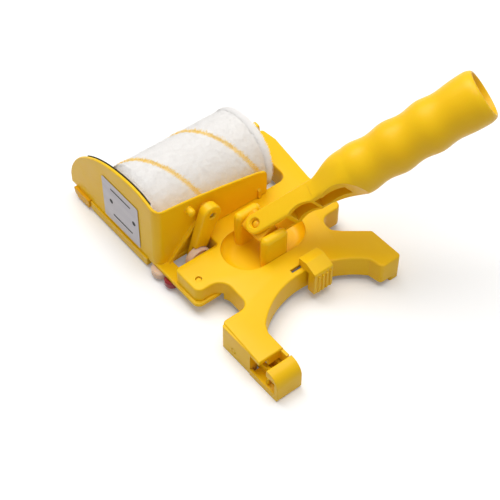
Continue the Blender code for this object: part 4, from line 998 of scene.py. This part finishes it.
def tilt_block():
    """Block between the posts, in the tilted frame: it turns on two stub trunnions."""
    half_y = POST_GAP / 2 - 0.5
    low = CHANNEL_BOTTOM + EAR_THICK + GAP
    high = CHANNEL_TOP - EAR_THICK - GAP
    outline = rounded_box(BLOCK_BACK, BLOCK_FRONT, low, high, 2.0)
    sides = [[(u, y, w) for u, w in outline] for y in (-half_y, half_y)]
    tilting = node("tilt_block", sides, TILTED)
    reach = POST_GAP / 2 + TRUNNION_OUT
    stub = turned([(TRUNNION_R - 0.4, -reach), (TRUNNION_R, 0.4 - reach),
                   (TRUNNION_R, reach - 0.4), (TRUNNION_R - 0.4, reach)], 20)
    join(tilting, along(stub, "Y"))
    cut(tilting, rod("Z", PIN_R + GAP, low - 1.0, high + 1.0, (SWIVEL_OFFSET, 0.0, 0.0), 20))


def grip_radius(u):
    """Outer radius along the grip: finger waves, then the flared end."""
    share = (u - GRIP_ROUND_AT) / (GRIP_END - GRIP_ROUND_AT)
    wave = GRIP_WAVE * cos(2 * pi * (u - GRIP_ROUND_AT - 5.0) / WAVE_PITCH)
    fade = min(1.0, max(0.0, (share - 0.60) / 0.28))
    radius = GRIP_R + GRIP_GROWTH * share + wave * (1.0 - 0.65 * fade * fade * (3 - 2 * fade))
    flare_from = GRIP_END - 24.0
    if u > flare_from:
        radius += (FLARE_R - GRIP_R - GRIP_GROWTH) * ((u - flare_from) / 14.0) ** 2 / 1.6
    return min(radius, FLARE_R)


def oval(u, half_v, half_w, centre_w, power):
    """Ring across the handle: a rounded box for a high power and a circle for 2."""
    ring = []
    for k in range(SEGMENTS):
        a = 2 * pi * k / SEGMENTS
        c, s = cos(a), sin(a)
        v = half_v * abs(c) ** (2 / power) * (1 if c >= 0 else -1)
        w = half_w * abs(s) ** (2 / power) * (1 if s >= 0 else -1)
        ring.append((u, v, centre_w + w))
    return ring


def grip_rings():
    """Skin of the grip: neck, waves, rounded mouth and the socket inside it."""
    rings = []
    neck_v, neck_w = EAR_R - 0.1, (CHANNEL_TOP - CHANNEL_BOTTOM) / 2 - 0.1
    steps = 26
    for k in range(steps + 1):
        share = k / steps
        ease = share * share * (3 - 2 * share)
        u = GRIP_START + (GRIP_ROUND_AT - GRIP_START) * share
        full = grip_radius(GRIP_ROUND_AT)
        rings.append(oval(u, neck_v + (full - neck_v) * ease, neck_w + (full - neck_w) * ease,
                          GRIP_AXIS_W, 6.0 - 4.0 * ease))
    stations = 110
    body_end = GRIP_END - 7.0
    for k in range(1, stations + 1):
        u = GRIP_ROUND_AT + (body_end - GRIP_ROUND_AT) * k / stations
        radius = grip_radius(u)
        rings.append(oval(u, radius, radius, GRIP_AXIS_W, 2.0))
    last = grip_radius(body_end)
    for k in range(1, 11):
        a = pi / 2 * k / 10
        radius = MOUTH_R + 0.5 + (last - MOUTH_R - 0.5) * cos(a)
        rings.append(oval(body_end + 7.0 * sin(a), radius, radius, GRIP_AXIS_W, 2.0))
    for u, radius in ((GRIP_END - 0.3, MOUTH_R), (GRIP_END - 3.0, SOCKET_R + 0.6),
                      (GRIP_END - 8.0, SOCKET_R), (GRIP_END - SOCKET_DEPTH, SOCKET_R - 0.8)):
        rings.append(oval(u, radius, radius, GRIP_AXIS_W, 2.0))
    return rings


def ear_outline():
    """Plan (u, v) of the neck: round at the pin, running into the grip."""
    points = []
    for k in range(41):
        a = pi / 2 + pi * k / 40
        points.append((EAR_R * cos(a), EAR_R * sin(a)))
    points += [(GRIP_START + 6.0, -EAR_R), (GRIP_START + 6.0, EAR_R)]
    return points


def pocket(u0, u1):
    """A pocket in the neck's open front side, with a scalloped mouth."""
    low = CHANNEL_BOTTOM + EAR_THICK
    high = CHANNEL_TOP - EAR_THICK
    outline = fillet([(u0, -22.0, 0.0), (u1, -22.0, 0.0), (u1, WEB_INNER_V, 2.0),
                      (u0, WEB_INNER_V, 2.0)])
    return [level(outline, w) for w in (low, high)]


def handle():
    grip = node("handle", grip_rings(), SWUNG)
    join(grip, slab(ear_outline(), CHANNEL_BOTTOM, CHANNEL_TOP, 1.5, 1.5))
    low = CHANNEL_BOTTOM + EAR_THICK
    high = CHANNEL_TOP - EAR_THICK
    cut(grip, block(-EAR_R - 2.0, SLOT_END, -EAR_R - 2.0, EAR_R + 2.0, low, high))
    for u0, u1 in POCKETS:
        cut(grip, pocket(u0, u1))
        middle = (u0 + u1) / 2
        bite = 2.6
        half = (u1 - u0) / 2 + 0.6
        radius = (half * half + bite * bite) / (2 * bite)
        edge = -EAR_R - (0.0 if u1 < 45.0 else 2.6)
        scallop = circle(radius, 120, middle, edge + bite - radius)
        cut(grip, [level(scallop, w) for w in (CHANNEL_BOTTOM - 8.0, CHANNEL_TOP + 8.0)])
    cut(grip, turned([(PIN_R + GAP, CHANNEL_BOTTOM - 1.0), (PIN_R + GAP, CHANNEL_TOP - 1.6),
                      (PIT_R, CHANNEL_TOP - 0.7), (PIT_R + 0.4, CHANNEL_TOP + 1.0)], 24))
    low_face = CHANNEL_BOTTOM - GAP
    pin = turned([(PIN_HEAD_R - 0.6, low_face - PIN_HEAD_THICK), (PIN_HEAD_R, low_face - 0.9),
                  (PIN_HEAD_R, low_face), (PIN_R, low_face), (PIN_R, CHANNEL_TOP - 2.2),
                  (PIN_R - 0.9, CHANNEL_TOP - 1.5), (0.8, CHANNEL_TOP - 1.2)], 24)
    node("swivel_pin", pin, SWUNG)
    # sleeve for an extension pole, pressed into the grip's hollow end
    outer = SOCKET_R - 0.8 - GAP
    end = GRIP_END - 12.0
    start = end - INSERT_LENGTH
    sleeve = turned([(outer - INSERT_WALL, start), (outer, start), (outer, end),
                     (outer - INSERT_WALL, end)])
    node("pole_socket", along(sleeve, "X", (0.0, 0.0, GRIP_AXIS_W)), SWUNG, closed=True)


# ---------------------------------------------------------------- roller cover

LIP = 5.0                      # rounding of the cover's rims


def pile_cover():
    """Backing of the cover: a soft ring whose skin is a little lumpy, as tufts gather."""
    around, span, turns = 300, 150, 14
    x0, x1 = ROLLER_X0 + 0.2, ROLLER_X1 - 0.2
    skin = NAP_R - 0.9
    ends = [(LIP * (1 - cos(a)), LIP * (1 - sin(a)))
            for a in (pi / 2 * k / turns for k in range(turns + 1))]
    profile = [(x0, NAP_IN_R), (x0, NAP_IN_R + 2.0)]
    profile += [(x0 + along_x, skin - drop) for along_x, drop in ends]
    profile += [(x0 + LIP + (x1 - x0 - 2 * LIP) * k / span, skin) for k in range(1, span)]
    profile += [(x1 - along_x, skin - drop) for along_x, drop in reversed(ends)]
    profile += [(x1, NAP_IN_R + 2.0), (x1, NAP_IN_R)]
    rings = []
    for x, r in profile:
        ring = []
        for k in range(around):
            a = 2 * pi * k / around
            spot = Vector((x, r * cos(a), r * sin(a)))
            grow = 0.0
            if r > NAP_IN_R + 1.0:
                grow = (noise.fractal(spot * 0.16, 1.0, 2.0, 3) * 0.30
                        + noise.fractal(spot * 1.3, 1.0, 2.0, 2) * 0.10)
            reach = min(r + grow, NAP_R)
            ring.append((x, ROLLER_Y + reach * cos(a), ROLLER_Z + reach * sin(a)))
        rings.append(ring)
    cover = new_object("roller_cover", make_mesh("roller_cover", rings, closed=True))
    cover.data.transform(WORLD)
    cover.data.shade_smooth()
    finish_piece(cover, "roller_nap")
    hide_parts("roller_nap")


def thread_offset(x, angle):
    """Distance in pitches from the middle of the nearest yellow thread."""
    phase = (x - STRIPE_X) / STRIPE_STEP - STRIPE_STARTS * angle / (2 * pi)
    return abs((phase + 0.5) % 1.0 - 0.5)


FIBRES, SEED = 70000, 11       # roots tried; fewer are kept between the rims
RIM_SHARE, NEAR_RIM_SHARE = 0.19, 0.05
BARE_SHARE = 0.62


def pile_fibres():
    """Yarn ends standing out of the cover, yellow where a thread passes and cream elsewhere."""
    rng = np.random.default_rng(SEED)
    noise.seed_set(SEED)
    x0, x1 = ROLLER_X0 + 0.4, ROLLER_X1 - 0.4
    root_r = NAP_R - 1.4
    kinds = {"cream": ([], [], []), "yellow": ([], [], [])}
    for _ in range(FIBRES):
        end = rng.random()
        a = rng.random() * 2 * pi
        out = Vector((0.0, cos(a), sin(a)))
        rim = 0
        if end < RIM_SHARE:
            rim = -1 if end < NEAR_RIM_SHARE else 1
            t = rng.random() * pi / 2 * 0.8
            x = (x0 + LIP - LIP * sin(t)) if rim < 0 else (x1 - LIP + LIP * sin(t))
            r = root_r - LIP * (1 - cos(t))
            grow = (out * cos(t) + Vector((rim * sin(t), 0.0, 0.0))).normalized()
        else:
            x = x0 + 4.0 + (x1 - x0 - 8.0) * rng.random()
            r = root_r
            grow = out
        face = (out + Vector((0.25 * rim, 0.0, 0.45))).normalized()
        root = Vector((x, r * cos(a), r * sin(a)))
        clump = noise.noise_vector(root * 0.22) * 0.07 + noise.noise_vector(root * 0.8) * 0.10
        lean = Vector(rng.normal(0.0, 0.24, 3)) + clump + Vector((0.25 * rim, 0.0, 0.0))
        length = 1.7 + 0.7 * rng.random()
        if rim > 0:
            length *= 1.3 + 0.8 * rng.random()
        yellow = rng.random() < 0.9 - (thread_offset(x, a) / THREAD_HALF) ** 2
        if not rim and not yellow and rng.random() < BARE_SHARE:
            continue
        if yellow:
            length *= 1.2
            lean.x += rng.normal(0.0, 0.75)
        grow = (grow + lean).normalized()
        width = (0.20 + 0.13 * rng.random()) if rim or yellow else 0.10 + 0.06 * rng.random()
        side_a = grow.cross(Vector((0.3, 0.5, 0.8))).normalized() * width
        side_b = grow.cross(side_a).normalized() * width
        tip = root + grow * length
        reach, limit = hypot(tip.y, tip.z), NAP_R + 0.2 + 0.7 * rng.random()
        if reach > limit:
            tip = root + grow * length * (limit - r) / (reach - r)
        tip.x = min(max(tip.x, ROLLER_X0), ROLLER_X1 + 3.2)
        verts, faces, normals = kinds["yellow" if yellow else "cream"]
        base = len(verts)
        if rim:
            across = Vector((0.0, -sin(a), cos(a))) * width * 1.3
            verts += [root + across, root - across, root - out * width * 0.6, tip]
        else:
            verts += [root + side_a, root - side_a * 0.5 + side_b * 0.87,
                      root - side_a * 0.5 - side_b * 0.87, tip]
        normals += [face] * 4
        faces += [(base, base + 1, base + 3), (base + 1, base + 2, base + 3),
                  (base + 2, base, base + 3), (base + 2, base + 1, base)]
    shift = Vector((0.0, ROLLER_Y, ROLLER_Z))
    for kind, (verts, faces, normals) in kinds.items():
        mesh = bpy.data.meshes.new("pile_" + kind)
        mesh.from_pydata([v + shift for v in verts], [], faces)
        mesh.transform(WORLD)
        bm = bmesh.new()
        bm.from_mesh(mesh)
        bmesh.ops.recalc_face_normals(bm, faces=bm.faces)
        bm.to_mesh(mesh)
        bm.free()
        mesh.shade_smooth()
        mesh.normals_split_custom_set_from_vertices([tuple(n) for n in normals])
        tufts = new_object("pile_" + kind, mesh)
        finish_piece(tufts, "roller_nap")
        tufts.data.materials[0] = PILE[kind]
        tufts.visible_shadow = False
        tufts.visible_diffuse = False


# ---------------------------------------------------------------- label marks

def label_marks():
    """Plain printed bars and dots on the label, with no lettering."""
    x1 = SHIELD_X - GAP - LABEL_THICK - 0.02
    x0 = x1 - 0.08

    def mark_on(name, corners):
        mark = new_object(name, make_mesh(name, plank(corners, x0, x1)))
        mark.data.transform(WORLD)
        finish_piece(mark, "guard_label", "seal_black")

    for name, (ya, za), (yb, zb), half in LABEL_BARS:
        mark_on(name, [(ya, za - half), (yb, zb - half), (yb, zb + half), (ya, za + half)][::-1])
    for name, y, z, radius in LABEL_DOTS:
        mark_on(name, circle(radius, 36, y, z))


LABEL_BARS = (("label_bar_top", (86.2, 45.1), (63.0, 45.1), 0.65),
              ("label_bar_low", (85.2, 20.5), (62.6, 20.5), 0.65))
LABEL_DOTS = (("label_dot_a", 86.6, 32.7, 1.9), ("label_dot_b", 60.0, 32.6, 1.9))


# ---------------------------------------------------------------- assembly

base_shell()
guard_rivet()
guard_shell()
shield_seal()
guard_label()
guide_bar()
roller_core_and_caps()
roller_mount()
wheel_arm()
arm_wheel()
trim_wheels()
thumb_slide()
sprung_foot()
tilt_block()
handle()
for made in MADE:
    settle(*made)
pile_cover()
pile_fibres()
label_marks()


# ---------------------------------------------------------------- floor, light and camera

FLOOR_HALF, FLOOR_Z = 4.0, -0.0002   # metres
FLOOR_BOUNCE = 0.62                  # floor colour for light that falls back on the object
FLOOR_SEEN, FLOOR_LIFT = 0.985, 0.09  # floor colour and glow where it is looked at
FLOOR_FADE = (0.25, 0.55)            # metres from the middle, from floor to white backdrop
SKY = 0.38
AZIMUTH, ELEVATION, ROLL = 38.885, 49.124, 0.358   # the photograph's camera, in degrees
AIM_Z = 22.0                         # mm above the floor
CAMERA_REACH = 880.0                 # mm
FOCAL_PIXELS, PHOTO_WIDTH = 1302.6, 500.0
SENSOR = 36.0


def seen_directly(tree):
    """1 where the background is looked at, straight or in a gloss or through a clear piece."""
    path = add_node(tree, "ShaderNodeLightPath")
    total = path.outputs["Is Camera Ray"]
    for kind in ("Is Glossy Ray", "Is Transmission Ray"):
        step = add_node(tree, "ShaderNodeMath", operation="MAXIMUM")
        tree.links.new(total, step.inputs[0])
        tree.links.new(path.outputs[kind], step.inputs[1])
        total = step.outputs["Value"]
    return total


def mix_shaders(tree, factor, first, second):
    mix = add_node(tree, "ShaderNodeMixShader")
    tree.links.new(factor, mix.inputs["Fac"])
    tree.links.new(first.outputs[0], mix.inputs[1])
    tree.links.new(second.outputs[0], mix.inputs[2])
    return mix


def floor():
    """Plain pale floor that keeps the object's shadow and fades to white far away."""
    mesh = bpy.data.meshes.new("floor")
    mesh.from_pydata([(x * FLOOR_HALF, y * FLOOR_HALF, FLOOR_Z)
                      for x, y in ((-1, -1), (1, -1), (1, 1), (-1, 1))], [], [(0, 1, 2, 3)])
    ground = new_object("floor", mesh)
    made, tree, shader = graph_of("floor_white")
    shader.inputs["Base Color"].default_value = (FLOOR_BOUNCE,) * 3 + (1.0,)
    shader.inputs["Roughness"].default_value = 0.9
    shader.inputs["Specular IOR Level"].default_value = 0.0
    bright = add_node(tree, "ShaderNodeBsdfDiffuse", Color=(FLOOR_SEEN,) * 3 + (1.0,))
    lift = add_node(tree, "ShaderNodeEmission", Strength=FLOOR_LIFT)
    seen = add_node(tree, "ShaderNodeAddShader")
    tree.links.new(bright.outputs[0], seen.inputs[0])
    tree.links.new(lift.outputs[0], seen.inputs[1])
    place = add_node(tree, "ShaderNodeTexCoord")
    reach = add_node(tree, "ShaderNodeVectorMath", operation="LENGTH")
    tree.links.new(place.outputs["Object"], reach.inputs[0])
    faded = mix_shaders(tree, ranged(tree, reach.outputs["Value"], 0.0, 1.0, *FLOOR_FADE),
                        seen, add_node(tree, "ShaderNodeEmission"))
    whole = mix_shaders(tree, seen_directly(tree), shader, faded)
    tree.links.new(whole.outputs[0], tree.nodes["Material Output"].inputs["Surface"])
    mesh.materials.append(made)


def area(name, place, aim, size, power):
    data = bpy.data.lights.new(name, "AREA")
    data.shape = "DISK"
    data.size = size
    data.energy = power
    lamp = bpy.data.objects.new(name, data)
    bpy.context.scene.collection.objects.link(lamp)
    lamp.location = place
    lamp.rotation_euler = (Vector(aim) - Vector(place)).to_track_quat("-Z", "Y").to_euler()


def studio():
    world = bpy.data.worlds.new("studio")
    bpy.context.scene.world = world
    world.use_nodes = True
    tree = world.node_tree
    soft = tree.nodes["Background"]
    soft.inputs["Color"].default_value = (1.0, 1.0, 1.0, 1.0)
    soft.inputs["Strength"].default_value = SKY
    white = add_node(tree, "ShaderNodeBackground", Strength=1.0)
    whole = mix_shaders(tree, seen_directly(tree), soft, white)
    tree.links.new(whole.outputs[0], tree.nodes["World Output"].inputs["Surface"])
    area("key", (-0.05, 0.70, 1.30), (0.0, 0.0, 0.03), 1.0, 8.0)
    area("top", (0.15, -0.05, 1.55), (0.0, 0.0, 0.0), 1.4, 12.5)
    bpy.context.scene.view_settings.view_transform = "Standard"


def camera():
    """Camera at the photograph's viewing angle."""
    azimuth, elevation, roll = radians(AZIMUTH), radians(ELEVATION), radians(ROLL)
    right = Vector((cos(azimuth), -sin(azimuth), 0.0))
    up = Vector((sin(azimuth) * sin(elevation), cos(azimuth) * sin(elevation), cos(elevation)))
    back = Vector((-sin(azimuth) * cos(elevation), -cos(azimuth) * cos(elevation),
                   sin(elevation)))
    across = right * cos(roll) + up * sin(roll)
    upward = up * cos(roll) - right * sin(roll)
    data = bpy.data.cameras.new("camera")
    data.sensor_width = SENSOR
    data.lens = SENSOR * FOCAL_PIXELS / PHOTO_WIDTH
    data.clip_start = 0.01
    view = bpy.data.objects.new("camera", data)
    bpy.context.scene.collection.objects.link(view)
    place = Vector((0.0, 0.0, AIM_Z)) + back * CAMERA_REACH
    turn = Matrix((across, upward, back)).transposed().to_4x4()
    view.matrix_world = Matrix.Translation(WORLD @ place) @ turn
    bpy.context.scene.camera = view


floor()
studio()
camera()
